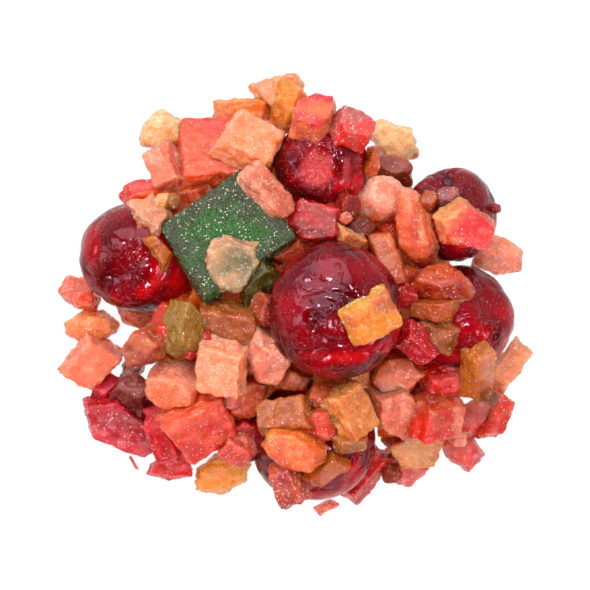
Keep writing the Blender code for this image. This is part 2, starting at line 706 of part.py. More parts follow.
def build():
    for item in list(bpy.data.objects):
        bpy.data.objects.remove(item)
    laid = lay_everything()
    own = [bit for bit in laid if bit[0] in OWN_NODES]
    small = [bit for bit in laid if bit[0] not in OWN_NODES]
    make_cherries()
    for index, bit in enumerate(own):
        make_own_solid(bit, own[index + 1:])
    make_heap(small, own)


build()
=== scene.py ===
# %% [markdown]
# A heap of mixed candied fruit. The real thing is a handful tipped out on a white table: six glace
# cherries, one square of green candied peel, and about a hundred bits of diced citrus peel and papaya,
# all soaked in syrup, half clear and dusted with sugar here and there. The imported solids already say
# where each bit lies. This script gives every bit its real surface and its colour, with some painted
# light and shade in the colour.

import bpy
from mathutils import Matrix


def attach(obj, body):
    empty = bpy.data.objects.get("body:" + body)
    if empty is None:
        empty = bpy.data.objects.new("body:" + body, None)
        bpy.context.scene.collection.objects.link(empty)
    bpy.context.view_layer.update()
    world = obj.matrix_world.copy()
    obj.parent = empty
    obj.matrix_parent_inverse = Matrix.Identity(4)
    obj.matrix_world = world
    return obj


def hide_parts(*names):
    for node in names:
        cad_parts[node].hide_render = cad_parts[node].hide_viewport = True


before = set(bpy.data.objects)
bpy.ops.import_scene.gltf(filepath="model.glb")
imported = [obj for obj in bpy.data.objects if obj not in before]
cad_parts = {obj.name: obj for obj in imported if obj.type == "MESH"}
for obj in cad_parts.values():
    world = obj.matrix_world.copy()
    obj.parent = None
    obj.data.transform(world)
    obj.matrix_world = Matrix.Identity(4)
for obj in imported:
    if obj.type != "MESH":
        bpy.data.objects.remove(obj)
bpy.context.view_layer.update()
NODES = set(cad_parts)
print("solids:", len(NODES))

# %% [markdown]
# Everything below is measured in millimetres, because a cook's dice are, and MM turns a millimetre
# into Blender's metre. Colours are written as the hex codes that any paint program shows. Blender
# mixes light in linear values, so one function turns a code into those. A colour read off wet flesh
# holds the white haze of its gloss and the warm light of its neighbours. Both come back when the
# fruit is lit, so they are taken off first, and no channel is cut below a quarter.

# %% Millimetres and colours
import itertools
import math
import zlib

import bmesh
import bpy
import numpy as np
from mathutils import Matrix
from mathutils import Vector

MM = 0.001
HAZE = np.array([0.03, 0.065, 0.065])
LIFT = np.array([0.91, 0.65, 0.52])
LEAST_LEFT = 0.25
MOST_LEFT = 0.96


def linear(code):
    """A hex colour as red, green and blue in linear light, by the usual screen curve."""
    parts = np.array([int(code[place:place + 2], 16) for place in (0, 2, 4)]) / 255.0
    return np.where(parts <= 0.04045, parts / 12.92, ((parts + 0.055) / 1.055) ** 2.4)


def rgba(code):
    """A hex colour as a node's colour socket takes it, with full cover."""
    return (*linear(code), 1.0)


def deeper(colour):
    """The flesh under a glossy skin: the seen colour without the haze of skin and neighbours."""
    return np.clip((colour - HAZE) * LIFT, colour * LEAST_LEFT, MOST_LEFT)


def draw_of(name):
    """The seeded random draw that belongs to one bit."""
    return np.random.default_rng(zlib.crc32(name.encode()))


print("orange peel in linear light:", linear("F09038").round(3))

# %% [markdown]
# Each bit is one row: its name, the finish it has, its form, where its middle lies, its length, width
# and thickness, how far it is turned, and two colours: a pale one, partly painted sheen, for its side
# towards the light, its ridges and edges, and a deep one, partly painted glow, for its flesh.
# A table reads better than a hundred calls. The bits on the ground come first, because each bit is
# laid on what is already there.

# %% The bits on the ground
GROUND = (
    ("left_salmon", "salmon", "chunk", -35.8, 0.3, 7.6, 5.6, 5.0, -30, "E88878", "F08038"),
    ("left_oval", "peach", "oval", -34.5, -5.4, 8.8, 5.4, 4.6, 6, "FCB080", "F49858"),
    ("left_wedge", "salmon", "dice", -34.5, -11.4, 9.4, 7.4, 6.2, 53, "F0A088", "F08850"),
    ("wedge_under_cherry", "orange", "wedge", -26.2, -4.2, 9.2, 4.6, 4.0, -10, "D88050", "C86830"),
    ("far_right_peach", "peach", "flake", 34.1, 6.7, 7.8, 6.0, 4.2, -15, "F4B8A4", "F0A088"),
    ("peach_stick", "peach", "stick", 36.0, -11.8, 9.2, 4.4, 4.2, 52, "F4B890", "F0A880"),
    ("red_lump", "red", "chunk", -21.3, -29.0, 7.6, 4.2, 4.0, 0, "F05850", "D83028"),
    ("pink_curl", "pink", "stick", 5.3, -35.6, 4.0, 2.0, 1.8, 32, "E89888", "E07868"),
    ("pink_flake_low", "pink", "wedge", 18.0, -29.4, 8.4, 4.8, 3.6, -26, "E08080", "D86868"),
    ("red_point", "red", "chunk", 28.1, -26.0, 7.2, 5.8, 4.0, -44, "E08078", "D82830"),
    ("red_long", "red", "stick", 11.7, -30.0, 11.8, 5.2, 4.8, 46, "D85848", "C83020"),
    ("amber_under_pyramid", "amber", "chunk", -27.2, -12.0, 4.4, 4.0, 4.0, 10, "A05828", "904820"),
    ("bar_behind_slab", "orange", "stick", -8.6, 30.4, 10.4, 5.6, 6.0, 4, "F8A850", "F09038"),
    ("gap_orange", "orange", "chunk", -19.2, 21.9, 5.0, 8.2, 5.6, 5, "E06018", "D84C08"),
    ("low_left_red", "crimson", "chunk", -24.6, -19.6, 8.0, 6.0, 6.0, 30, "D02840", "C00020"),
    ("low_right_red", "red", "chunk", 29.6, -20.9, 8.4, 5.8, 5.0, 48, "E89898", "D83028"),
    ("low_dark_red", "crimson", "chunk", -7.2, -22.6, 5.0, 7.4, 7.0, 0, "D82018", "B80808"),
    ("crimson_main", "crimson", "slab", -30.0, -21.9, 15.0, 8.0, 6.0, -32, "CC3050", "B8001C"),
    ("right_red", "red", "stick", 33.6, -20.2, 9.0, 4.6, 5.0, 70, "E88070", "E03820"),
    ("yellow_piece", "yellow", "chunk", -12.2, -30.2, 9.2, 6.4, 5.0, 4, "FCC040", "F8B000"),
    ("top_left_yellow", "beige", "chunk", -22.3, 27.7, 7.8, 7.0, 6.4, 0, "E4DCB0", "F4A860"),
    ("pale_yellow", "beige", "chunk", 16.6, 26.1, 8.8, 6.6, 4.8, -40, "F4E0B0", "F0D49C"),
    ("crimson_flap", "crimson", "stick", -31.2, -15.6, 6.6, 3.4, 3.2, 46, "E05070", "C80024"),
    ("peach_tip", "peach", "flake", -2.6, 33.8, 8.2, 7.2, 4.2, 23, "F4C0A0", "F4A888"),
)
print("bits on the ground:", len(GROUND))

# %% [markdown]
# Most of the heap leans on its flanks: dice and sticks that slid down between the cherries and
# stopped against each other. They are laid in the order in which they overlap in the photo, the
# covered ones first, so that the order of the rows does the work of a depth for each.

# %% The bits on the flanks
FLANK = (
    ("orange_lump", "orange", "chunk", -0.8, 31.2, 8.8, 5.2, 6.0, 66, "F4B050", "F0A038"),
    ("brown_mauve", "brown", "chunk", 16.4, 21.1, 7.2, 4.6, 4.2, -8, "B87868", "A05840"),
    ("amber_sliver", "amber", "wedge", 13.0, 22.8, 6.8, 2.8, 3.0, 78, "E09838", "C86818"),
    ("red_curl", "red", "stick", -23.2, 17.0, 12.4, 4.6, 5.0, 8, "F05828", "F03400"),
    ("fibrous_salmon", "salmon", "stick", -21.8, 21.6, 9.8, 5.4, 4.6, -58, "F8B8A8", "F09078"),
    ("big_slab", "salmon", "dice", -11.2, 23.8, 16.8, 12.6, 6.4, 1, "E87C60", "F0803C"),
    ("peach_square", "peach", "dice", -7.9, 25.2, 9.8, 9.2, 4.8, -34, "FCB898", "F49C68"),
    ("pink_salmon", "salmon", "chunk", 3.1, 30.0, 8.4, 7.2, 6.0, 62, "E07070", "F0A878"),
    ("red_orange_lump", "red", "chunk", 9.2, 27.5, 7.6, 6.4, 5.4, -32, "D08488", "F04018"),
    ("brown_orange", "brown", "dice", -16.8, 15.4, 7.6, 5.0, 4.4, 12, "D87848", "C86838"),
    ("olive_green", "olive", "wedge", -7.0, 1.8, 9.0, 5.6, 5.0, 42, "6A7818", "5A6A10"),
    ("peach_sliver", "brown", "stick", -0.4, 7.6, 7.0, 3.8, 4.0, 30, "D88058", "C87048"),
    ("dark_slab", "crimson", "slab", 3.2, 12.0, 10.4, 7.0, 4.4, -5, "C01808", "980600"),
    ("brown_by_cherry", "brown", "chunk", 8.8, 14.8, 4.4, 5.0, 3.2, 10, "A83010", "902008"),
    ("dark_brown", "brown", "chunk", 10.8, 10.8, 6.0, 4.4, 3.6, -10, "905020", "703808"),
    ("beige_wedge", "beige", "wedge", 9.0, 9.0, 6.4, 3.6, 3.2, -26, "E8B890", "D8A070"),
    ("small_pink", "pink", "chunk", 8.2, 12.6, 2.4, 2.8, 2.0, 60, "E8A090", "D88878"),
    ("low_salmon_right", "brown", "stick", 18.2, 2.4, 6.4, 4.2, 5.0, 82, "E08050", "D06438"),
    ("low_deep_red", "crimson", "chunk", 18.4, 0.2, 5.0, 4.0, 4.0, 0, "C02018", "A01010"),
    ("pale_pink_lump", "peach", "chunk", 14.2, 15.6, 8.8, 7.8, 6.8, -20, "F8C8C0", "F0A490"),
    ("brown_long", "amber", "stick", 15.3, 6.1, 11.8, 4.7, 4.4, -70, "E89868", "D87838"),
    ("almond", "salmon", "oval", 19.8, 10.6, 13.8, 6.8, 5.0, -78, "F4A484", "EC7C4C"),
    ("amber_bit", "amber", "chunk", 22.2, 15.6, 3.6, 3.4, 2.8, 20, "C88038", "B06820"),
    ("olive_amber", "amber", "slab", 22.8, -6.4, 7.8, 5.4, 4.2, -14, "B88050", "A07028"),
    ("amber_bar", "amber", "stick", 22.8, -2.4, 8.4, 4.2, 4.2, -5, "C88048", "D07820"),
    ("amber_wrinkled", "amber", "chunk", 24.6, 2.0, 10.2, 6.6, 5.0, -6, "D87838", "B85018"),
    ("brown_salmon", "brown", "chunk", -24.9, -8.4, 8.2, 6.4, 5.6, 30, "D08868", "B06048"),
    ("olive_yellow", "olive", "chunk", -18.0, -5.8, 9.8, 6.2, 6.4, 82, "B0A044", "A89000"),
    ("amber_clear", "amber", "dice", -10.4, -5.6, 10.4, 9.6, 5.0, 5, "C08850", "A87038"),
    ("crinkled_brown", "brown", "chunk", -4.8, -2.8, 6.4, 4.6, 4.0, 80, "C87858", "A84828"),
    ("red_crumb_a", "red", "chunk", -14.8, -7.2, 2.4, 2.2, 2.0, 0, "E04838", "C82820"),
    ("red_crumb_b", "red", "chunk", -17.2, -9.8, 2.4, 2.2, 2.0, 40, "E04838", "C82820"),
    ("dusty_pink", "pink", "chunk", -4.6, -10.5, 9.4, 7.4, 6.6, 84, "E8B0A0", "D89080"),
    ("mauve_pyramid", "brown", "wedge", -26.6, -16.4, 8.8, 7.2, 6.0, -24, "A07068", "8C4850"),
    ("crimson_right", "crimson", "stick", -22.2, -23.2, 9.6, 5.4, 6.0, -70, "D83858", "C80024"),
    ("salmon_lump", "salmon", "chunk", -19.8, -15.0, 10.2, 7.8, 7.0, -12, "F8B8A4", "F89874"),
    ("red_salmon_slab", "salmon", "dice", -15.2, -21.7, 12.4, 10.8, 6.4, 34, "F08060", "E04C28"),
    ("salmon_lobe", "salmon", "chunk", -8.6, -17.2, 7.8, 6.0, 5.0, 70, "F09070", "E87858"),
    ("pink_crumple", "pink", "chunk", -10.4, -17.8, 3.0, 3.0, 2.4, 0, "F0A098", "E08078"),
    ("peach_cube", "peach", "dice", -12.3, -11.8, 9.2, 8.8, 6.2, -14, "F8BCA4", "F4AC88"),
    ("pink_mauve", "pink", "chunk", -9.2, -26.2, 6.4, 5.2, 4.6, -30, "D87868", "C05850"),
    ("brown_pink", "pink", "stick", -1.4, -31.4, 9.2, 5.4, 4.6, -72, "C87868", "B06058"),
    ("amber_behind", "amber", "dice", -1.6, -19.8, 10.0, 6.4, 5.0, 6, "D09050", "C07838"),
    ("brown_wedge", "brown", "wedge", 0.4, -14.0, 6.6, 5.0, 4.4, -12, "D88860", "C07048"),
    ("brown_area", "brown", "slab", 5.0, -16.8, 8.0, 6.6, 4.4, 20, "D88050", "C86030"),
    ("salmon_bits", "salmon", "chunk", 4.2, -21.6, 5.0, 6.0, 3.6, 10, "E07058", "D05840"),
    ("orange_wrinkled", "orange", "chunk", -0.3, -25.2, 10.8, 7.4, 5.4, -22, "F8A058", "E87C30"),
    ("amber_small", "amber", "stick", 5.2, -29.2, 8.2, 3.8, 3.2, 40, "D08828", "C07818"),
    ("peach_ledge", "peach", "stick", 10.2, -13.6, 6.4, 4.0, 3.6, -5, "E0A070", "D08850"),
    ("yellow_peach", "yellow", "dice", 9.2, -19.2, 9.0, 6.8, 5.0, -62, "E8B078", "D89038"),
    ("salmon_clear", "salmon", "chunk", 16.6, -12.8, 9.6, 8.6, 6.0, 32, "F09870", "D87048"),
    ("salmon_fibrous", "salmon", "slab", 16.2, -18.7, 10.2, 8.0, 5.2, -32, "F4A890", "E88870"),
    ("sugared_beige", "beige", "slab", 19.8, -25.6, 10.0, 6.6, 5.2, -12, "E8B480", "DCA060"),
    ("red_pink_wedge", "red", "wedge", 25.2, -14.5, 10.8, 7.0, 5.0, 5, "E07078", "E03820"),
    ("amber_tall", "amber", "stick", 30.4, -13.7, 11.6, 4.8, 6.0, 96, "D89848", "C88028"),
    ("brown_red_square", "salmon", "dice", 23.6, -20.2, 8.4, 7.8, 6.0, -5, "D07850", "D84020"),
)
print("bits on the flanks:", len(FLANK))

# %% [markdown]
# A few bits lie loose on top of the cherries and the others, and the crumbs are what broke off when
# the fruit was cut. The crumbs are too small for a solid and come last of all.

# %% The bits on top
TOP = (
    ("green_square", "green", "square", -11.4, 9.8, 18.6, 14.8, 5.2, 35, "44682E", "2C7C0E"),
    ("crimson_crumple", "crimson", "stick", 20.0, -8.2, 8.2, 4.6, 4.2, -46, "D03048", "B80818"),
    ("cherry_flake", "brown", "flake", -23.8, 13.0, 7.2, 6.2, 3.0, -20, "F8D0B4", "F0B490"),
    ("amber_strip", "amber", "stick", -22.4, 7.2, 6.8, 3.2, 2.6, -52, "D89828", "C08010"),
    ("mauve_crystal", "pink", "chunk", 25.2, 16.4, 4.2, 3.8, 2.2, 15, "A87078", "844850"),
    ("red_peach_piece", "red", "slab", 28.0, 11.4, 10.8, 8.0, 4.6, -22, "F0B080", "F03C3C"),
    ("pink_rod", "pink", "square", -4.7, 16.9, 10.4, 4.5, 4.2, -47, "E4B0A0", "C47860"),
    ("beige_flake", "beige", "flake", -10.0, 5.4, 9.6, 8.6, 2.2, 20, "F0D4B4", "BCC0A4"),
    ("yellow_chip", "yellow", "dice", 12.4, -3.4, 9.2, 7.2, 2.4, 26, "F8B858", "F4A028"),
    ("amber_chip", "amber", "stick", 9.2, -24.6, 6.0, 3.4, 2.4, 6, "C89858", "B08040"),
)
CRUMBS = (
    ("peach_crumb", "peach", "chunk", -21.8, 15.6, 3.0, 2.6, 2.4, 10, "F8C8A0", "F8B880"),
    ("olive_crumb", "olive", "chunk", -20.2, 15.4, 2.8, 2.6, 2.4, 30, "B09048", "A08038"),
    ("olive_bit_right", "olive", "chunk", 32.2, -16.8, 3.0, 3.2, 3.0, 15, "A08048", "806030"),
    ("brown_bit_low", "brown", "chunk", 16.0, -30.0, 3.6, 3.6, 3.0, 20, "B87858", "A05838"),
    ("pale_pink_bit", "pink", "chunk", 27.4, -24.2, 2.8, 2.6, 2.2, 0, "F0B8A8", "E09888"),
    ("mauve_crumb", "pink", "chunk", 33.4, 14.4, 1.6, 2.0, 1.6, 20, "985060", "783444"),
    ("red_thread", "crimson", "stick", -27.2, -28.4, 2.8, 0.6, 0.6, -60, "E8B0B4", "D89090"),
)
print("bits on top:", len(TOP), "crumbs:", len(CRUMBS))

# %% [markdown]
# The cherries are balls pressed a little flat by syrup and by their neighbours. A row gives the
# middle, the three radii, and the dents where the stone and the stalk were: each dent is a compass
# direction and an angle from straight up in degrees, a depth and a half width in degrees.

# %% The cherries' sizes
LOW_CHERRIES = (
    ("cherry_left", -26.0, 6.4, 9.0, 10.2, 9.5, 8.8, ((215.0, 28.0, 1.8, 26.0), (20.0, 80.0, 0.8, 30.0))),
    ("cherry_top", 4.5, 21.6, 11.4, 8.1, 7.7, 7.6, ((200.0, 8.0, 2.0, 24.0),)),
    ("cherry_top_right", 26.2, 13.5, 9.0, 7.8, 8.1, 7.4, ((102.0, 48.0, 2.0, 24.0),)),
    ("cherry_right", 27.8, -3.9, 8.8, 9.0, 9.0, 8.4, ((30.0, 40.0, 1.2, 26.0),)),
    ("cherry_bottom", 3.0, -24.2, 9.1, 10.7, 10.6, 8.8, ((270.0, 58.0, 1.2, 30.0),)),
)
MIDDLE_CHERRIES = (
    (
        "cherry_middle", 6.7, -2.7, 21.4, 11.2, 11.3, 8.4,
        ((270.0, 36.0, 1.6, 24.0), (110.0, 30.0, 0.9, 26.0)),
    ),
)
CHERRIES = LOW_CHERRIES + MIDDLE_CHERRIES
print("cherries:", len(CHERRIES))

# %% [markdown]
# A bit of peel is cut with a knife, so its plain shape is a few corners with flat faces between
# them. Eight numbers could be typed for each corner, but a rule makes better fruit: an outline with
# a number of corners, some of it square and some of it round, shaken a little, then a narrower face
# above it. The convex skin round those corners is the bit. The seed comes from the bit's own name,
# so that adding a bit never changes the others. A form gives the number of corners, how square the
# outline is from 0 to 1, how much it is shaken, and how narrow the upper face is.

# %% The plain shape of a bit
FORMS = {
    "square": (4, 1.0, 0.02, 0.95),
    "dice": (4, 1.0, 0.07, 0.84),
    "slab": (5, 0.8, 0.08, 0.88),
    "chunk": (6, 0.5, 0.10, 0.76),
    "wedge": (4, 0.6, 0.15, 0.62),
    "stick": (4, 1.0, 0.10, 0.72),
    "oval": (8, 0.0, 0.03, 0.70),
    "flake": (7, 0.3, 0.14, 0.86),
}
UPPER_SHAKE = 0.05
UPPER_SHIFT = 0.07
CORNER_DIP = 0.6


def corner_points(form, length, width, thickness, draw):
    """The corners of one bit: an upper and a lower ring with the bit's true length, width and thickness."""
    count, square, uneven, narrow = FORMS[form]
    angles = (np.arange(count) + 0.5) * 2.0 * math.pi / count
    angles = angles + draw.normal(0.0, uneven, count)
    box = 1.0 / np.maximum(abs(np.cos(angles)), abs(np.sin(angles)))
    radii = (1.0 - square + square * box) * (1.0 + draw.normal(0.0, uneven, count))
    ring = np.stack([radii * np.cos(angles), radii * np.sin(angles)], axis=1)
    upper = ring * (narrow + draw.normal(0.0, UPPER_SHAKE, (count, 1)))
    upper = upper + draw.normal(0.0, UPPER_SHIFT, 2)
    upper_z = 0.5 - CORNER_DIP * draw.random(count) * (1.0 - narrow)
    lower_z = -0.5 + CORNER_DIP * draw.random(count) * (1.0 - narrow)
    points = np.vstack([np.column_stack([upper, upper_z]), np.column_stack([ring, lower_z])])
    low = points.min(axis=0)
    high = points.max(axis=0)
    points = (points - (low + high) / 2.0) / (high - low)
    return points * np.array([length, width, thickness])


def hull_of(points):
    """The convex skin round a set of points: its vertices and its triangles."""
    skin = bmesh.new()
    for point in points:
        skin.verts.new(point)
    made = bmesh.ops.convex_hull(skin, input=list(skin.verts))
    inner = [item for item in made["geom_interior"] if isinstance(item, bmesh.types.BMVert)]
    bmesh.ops.delete(skin, geom=inner, context="VERTS")
    bmesh.ops.triangulate(skin, faces=list(skin.faces))
    bmesh.ops.recalc_face_normals(skin, faces=list(skin.faces))
    skin.verts.index_update()
    vertices = np.array([vertex.co[:] for vertex in skin.verts])
    triangles = [[vertex.index for vertex in face.verts] for face in skin.faces]
    skin.free()
    return vertices, triangles


def planes_of(vertices, triangles):
    """The outward normal and the distance from the middle of each face's plane."""
    corners = vertices[np.array(triangles)]
    normals = np.cross(corners[:, 1] - corners[:, 0], corners[:, 2] - corners[:, 0])
    normals = normals / np.linalg.norm(normals, axis=1, keepdims=True)
    distances = np.einsum("ij,ij->i", normals, corners[:, 0])
    return normals, distances


print("forms:", ", ".join(FORMS))

# %% [markdown]
# The mound that carries the bits is a low core with bays where the ground shows between them. It is
# never seen whole. One function says how far it reaches in each direction and another how high it
# is, and both the height map below and the core's own mesh ask them. A wave is a depth, a number of
# swings round the core and a start; a bay is a direction and a half width in degrees, and a depth.

# %% The core's outline
CORE_RADIUS = 28.5
CORE_HEIGHT = 13.5
CORE_RIM = 2.4
CORE_ROUND = 2.3
CORE_WAVES = ((1.2, 3.0, 0.6), (0.8, 7.0, 0.0))
BAYS = (
    (197.0, 15.0, 7.0),
    (60.0, 13.0, 7.0),
    (-58.0, 10.0, 4.5),
    (9.0, 9.0, 3.0),
    (146.0, 8.0, 3.5),
    (44.0, 8.0, 3.0),
)


def core_reach(angle):
    """How far the core reaches in a direction, with its bays."""
    reach = CORE_RADIUS
    for depth, swings, start in CORE_WAVES:
        reach = reach + depth * np.sin(swings * angle + start)
    for direction, half_width, depth in BAYS:
        off = (angle - math.radians(direction) + math.pi) % (2.0 * math.pi) - math.pi
        reach = reach - depth * np.exp(-(off / math.radians(half_width)) ** 2)
    return reach


def core_rise(share):
    """The core's height at a share of its reach."""
    return CORE_RIM + (CORE_HEIGHT - CORE_RIM) * (1.0 - np.clip(share, 0.0, 1.0) ** CORE_ROUND)


print("core reaches to the right:", round(float(core_reach(0.0)), 1), "mm")

# %% [markdown]
# Real bits come to rest: they drop, lean with the slope beneath and press into their sticky
# neighbours. A rigid body simulation would move them away from where the photo has them. So a map of
# heights keeps how high the heap stands over each half millimetre, and each bit is laid on it, leaned
# to the slope that fits best under it, and sunk by a little. The rule and its numbers are those that
# placed the solids, so the fruit lands exactly where they are.

# %% Laying bits on the heap
GAP = 0.32
SINK = 1.0
MOST_LEAN = 34.0
SLOPE_SHARE = 0.85
PRESSED_SHARE = 0.25
CELL = 0.5
MAP_REACH = 46.0
LEAN_ROOM = 1.6
TINY = 1e-6


def spans_of(normals, distances, across, along):
    """The underside and the top of a convex bit above each cell, and which cells it covers."""
    top = np.full(across.shape, np.inf)
    under = np.full(across.shape, -np.inf)
    covered = np.ones(across.shape, bool)
    for normal, distance in zip(normals, distances):
        side = distance - normal[0] * across - normal[1] * along
        if normal[2] > TINY:
            top = np.minimum(top, side / normal[2])
        elif normal[2] < -TINY:
            under = np.maximum(under, side / normal[2])
        else:
            covered &= side >= 0.0
    return under, top, covered & (top > under)


class HeightMap:
    """How high the heap stands over each cell of the ground."""

    def __init__(self):
        line = np.arange(-MAP_REACH, MAP_REACH + CELL, CELL)
        self.x, self.y = np.meshgrid(line, line)
        share = np.hypot(self.x, self.y) / core_reach(np.arctan2(self.y, self.x))
        self.core = np.where(share < 1.0, core_rise(share), 0.0)
        self.z = self.core.copy()

    def window(self, x, y, reach):
        """The part of the map round a place."""
        first = max(0, int((x - reach + MAP_REACH) / CELL))
        last = int((x + reach + MAP_REACH) / CELL) + 2
        low = max(0, int((y - reach + MAP_REACH) / CELL))
        high = int((y + reach + MAP_REACH) / CELL) + 2
        return slice(low, high), slice(first, last)

    def bare(self, x, y):
        """Whether nothing lies on the core or the ground at a place yet."""
        window = self.window(x, y, CELL)
        return bool(np.all(self.z[window] == self.core[window]))

    def put_cherry(self, x, y, z, radii):
        """Raises the map to a cherry's upper side."""
        share = ((self.x - x) / radii[0]) ** 2 + ((self.y - y) / radii[1]) ** 2
        top = z + radii[2] * np.sqrt(np.clip(1.0 - share, 0.0, 1.0))
        self.z = np.where(share < 1.0, np.maximum(self.z, top), self.z)

    def slope_under(self, window, covered):
        """The slope of the plane that fits the heights under a bit best."""
        across = self.x[window][covered]
        along = self.y[window][covered]
        columns = np.column_stack([across - across.mean(), along - along.mean(), np.ones(across.size)])
        fit = np.linalg.lstsq(columns, self.z[window][covered], rcond=None)[0]
        return fit[0], fit[1]

    def lay(self, vertices, triangles, x, y, turn):
        """Lays a bit on the heap and returns the matrix that puts it there."""
        spin = Matrix.Rotation(math.radians(turn), 3, "Z")
        window = self.window(x, y, np.abs(vertices).max() * LEAN_ROOM)
        across = self.x[window] - x
        along = self.y[window] - y
        turned = vertices @ np.array(spin).T
        covered = spans_of(*planes_of(turned, triangles), across, along)[2]
        slope = self.slope_under(window, covered)
        lean = min(math.atan(math.hypot(*slope)) * SLOPE_SHARE, math.radians(MOST_LEAN))
        axis = Vector((slope[1], -slope[0], 0.0))
        tip = Matrix.Identity(3)
        if axis.length > TINY:
            tip = Matrix.Rotation(lean, 3, axis)
        posed = turned @ np.array(tip).T
        under, top, covered = spans_of(*planes_of(posed, triangles), across, along)
        wanted = (self.z[window] - under)[covered]
        height = np.quantile(wanted, 1.0 - PRESSED_SHARE) - SINK
        height = max(height, -posed[:, 2].min() + GAP / 2.0)
        raised = np.maximum(self.z[window], top + height)
        self.z[window] = np.where(covered, raised, self.z[window])
        return Matrix.Translation((x, y, height)) @ (tip @ spin).to_4x4()


print("cells in the map of heights:", HeightMap().z.size)

# %% [markdown]
# Between the bits that show lie many that hardly do. They are strewn by a rule: a sunflower's spiral
# spreads them evenly over the core, and a ring of them lies along its rim. The spiral is the usual
# way to spread points on a disc without rows or clumps.

# %% The bits beneath
FILLERS = 60
RIM_FILLERS = 44
RIM_OVERHANG = 1.6
FILLER_LENGTH = (5.5, 8.5)
RIM_FILLER_LENGTH = (4.5, 6.5)
FILLER_WIDTH = (0.65, 0.95)
FILLER_THICKNESS = (3.5, 5.0)
FILLER_SCATTER = 0.6
FILLER_CLEAR = 1.5
FRUIT_STRIDE = 7
FILLER_FRUITS = (
    ("amber", "F09838", "E07018"),
    ("salmon", "FC8860", "F85828"),
    ("brown", "EC7838", "D84C10"),
    ("red", "F06038", "E03810"),
    ("orange", "FFA850", "F87818"),
)


def clear_of_cherries(x, y):
    """Whether a place is far enough from every low cherry for a bit to lie beside it."""
    shares = [
        math.hypot((x - middle_x) / (radii[0] + FILLER_CLEAR), (y - middle_y) / (radii[1] + FILLER_CLEAR))
        for name, middle_x, middle_y, z, *radii, dents in LOW_CHERRIES
    ]
    return min(shares) > 1.0


def filler_table(heights):
    """Bits strewn evenly over the bare core and along its rim, clear of the low cherries."""
    draw = draw_of("fillers")
    golden = math.pi * (3.0 - math.sqrt(5.0))
    places = []
    for index in range(FILLERS):
        angle = index * golden
        radius = math.sqrt((index + 0.5) / FILLERS) * core_reach(angle)
        places.append((angle, radius, FILLER_LENGTH))
    for index in range(RIM_FILLERS):
        angle = (index + 0.5) * 2.0 * math.pi / RIM_FILLERS
        places.append((angle, core_reach(angle) + RIM_OVERHANG, RIM_FILLER_LENGTH))
    rows = []
    for index, (angle, radius, lengths) in enumerate(places):
        x = radius * math.cos(angle) + draw.normal(0.0, FILLER_SCATTER)
        y = radius * math.sin(angle) + draw.normal(0.0, FILLER_SCATTER)
        length = draw.uniform(*lengths)
        width = length * draw.uniform(*FILLER_WIDTH)
        thickness = draw.uniform(*FILLER_THICKNESS)
        turn = draw.uniform(0.0, 180.0)
        form = "dice" if index % 2 else "chunk"
        fruit, pale, deep = FILLER_FRUITS[index * FRUIT_STRIDE % len(FILLER_FRUITS)]
        if clear_of_cherries(x, y) and heights.bare(x, y):
            name = f"filler_{index:02d}"
            rows.append((name, fruit, form, x, y, length, width, thickness, turn, pale, deep))
    return rows


def lay_bits(table, heights):
    """Lays the bits of one table and gives each one's row with its pose."""
    laid = []
    for name, fruit, form, x, y, length, width, thickness, turn, pale, deep in table:
        vertices, triangles = hull_of(corner_points(form, length, width, thickness, draw_of(name)))
        pose = heights.lay(vertices, triangles, x, y, turn)
        laid.append((name, fruit, form, (length, width, thickness), pose, pale, deep))
    return laid


heights = HeightMap()
bits = lay_bits(GROUND, heights)
bits += lay_bits(filler_table(heights), heights)
for name, x, y, z, *radii, dents in LOW_CHERRIES:
    heights.put_cherry(x, y, z, radii)
bits += lay_bits(FLANK, heights)
for name, x, y, z, *radii, dents in MIDDLE_CHERRIES:
    heights.put_cherry(x, y, z, radii)
bits += lay_bits(TOP, heights)
bits += lay_bits(CRUMBS, heights)
print("bits laid:", len(bits), "highest point:", round(float(heights.z.max()), 1), "mm")

# %% [markdown]
# Candied flesh has no plain faces: it shrinks as it dries, so it is lumpy, creased and stringy.
# Perlin's noise gives such surfaces from a formula. Blender has it built in, one point at a time;
# this version takes all the points of a mesh at once, which is much faster for half a million.

# %% Noise for lumps and creases
LATTICE_STEPS = np.array([[127.1, 311.7, 74.7], [269.5, 183.3, 246.1], [113.5, 271.9, 124.6]])
HASH_SIZE = 43758.5453
NOISE_GAIN = 1.6
CREASE_POWER = 0.7


def noise(points, wavelength, seed=0.0):
    """Smooth random values from about -1 to 1 that change over a wavelength in millimetres."""
    places = points / wavelength + seed
    low = np.floor(places)
    share = places - low
    blend = share * share * share * (share * (share * 6.0 - 15.0) + 10.0)
    total = np.zeros(len(points))
    for corner in itertools.product((0.0, 1.0), repeat=3):
        corner = np.array(corner)
        hashed = np.sin((low + corner) @ LATTICE_STEPS.T) * HASH_SIZE
        gradient = (hashed - np.floor(hashed)) * 2.0 - 1.0
        weight = np.prod(np.where(corner > 0.0, blend, 1.0 - blend), axis=1)
        total += weight * np.einsum("ij,ij->i", gradient, share - corner)
    return total * NOISE_GAIN


def creases(points, wavelength, seed=0.0):
    """Sharp valleys between round swellings, from -1 in a valley to 1 on a swelling."""
    return 2.0 * np.abs(noise(points, wavelength, seed)) ** CREASE_POWER - 1.0


probe = np.random.default_rng(1).uniform(-9.0, 9.0, (2000, 3))
print("noise runs from", noise(probe, 1.0).min().round(2), "to", noise(probe, 1.0).max().round(2))
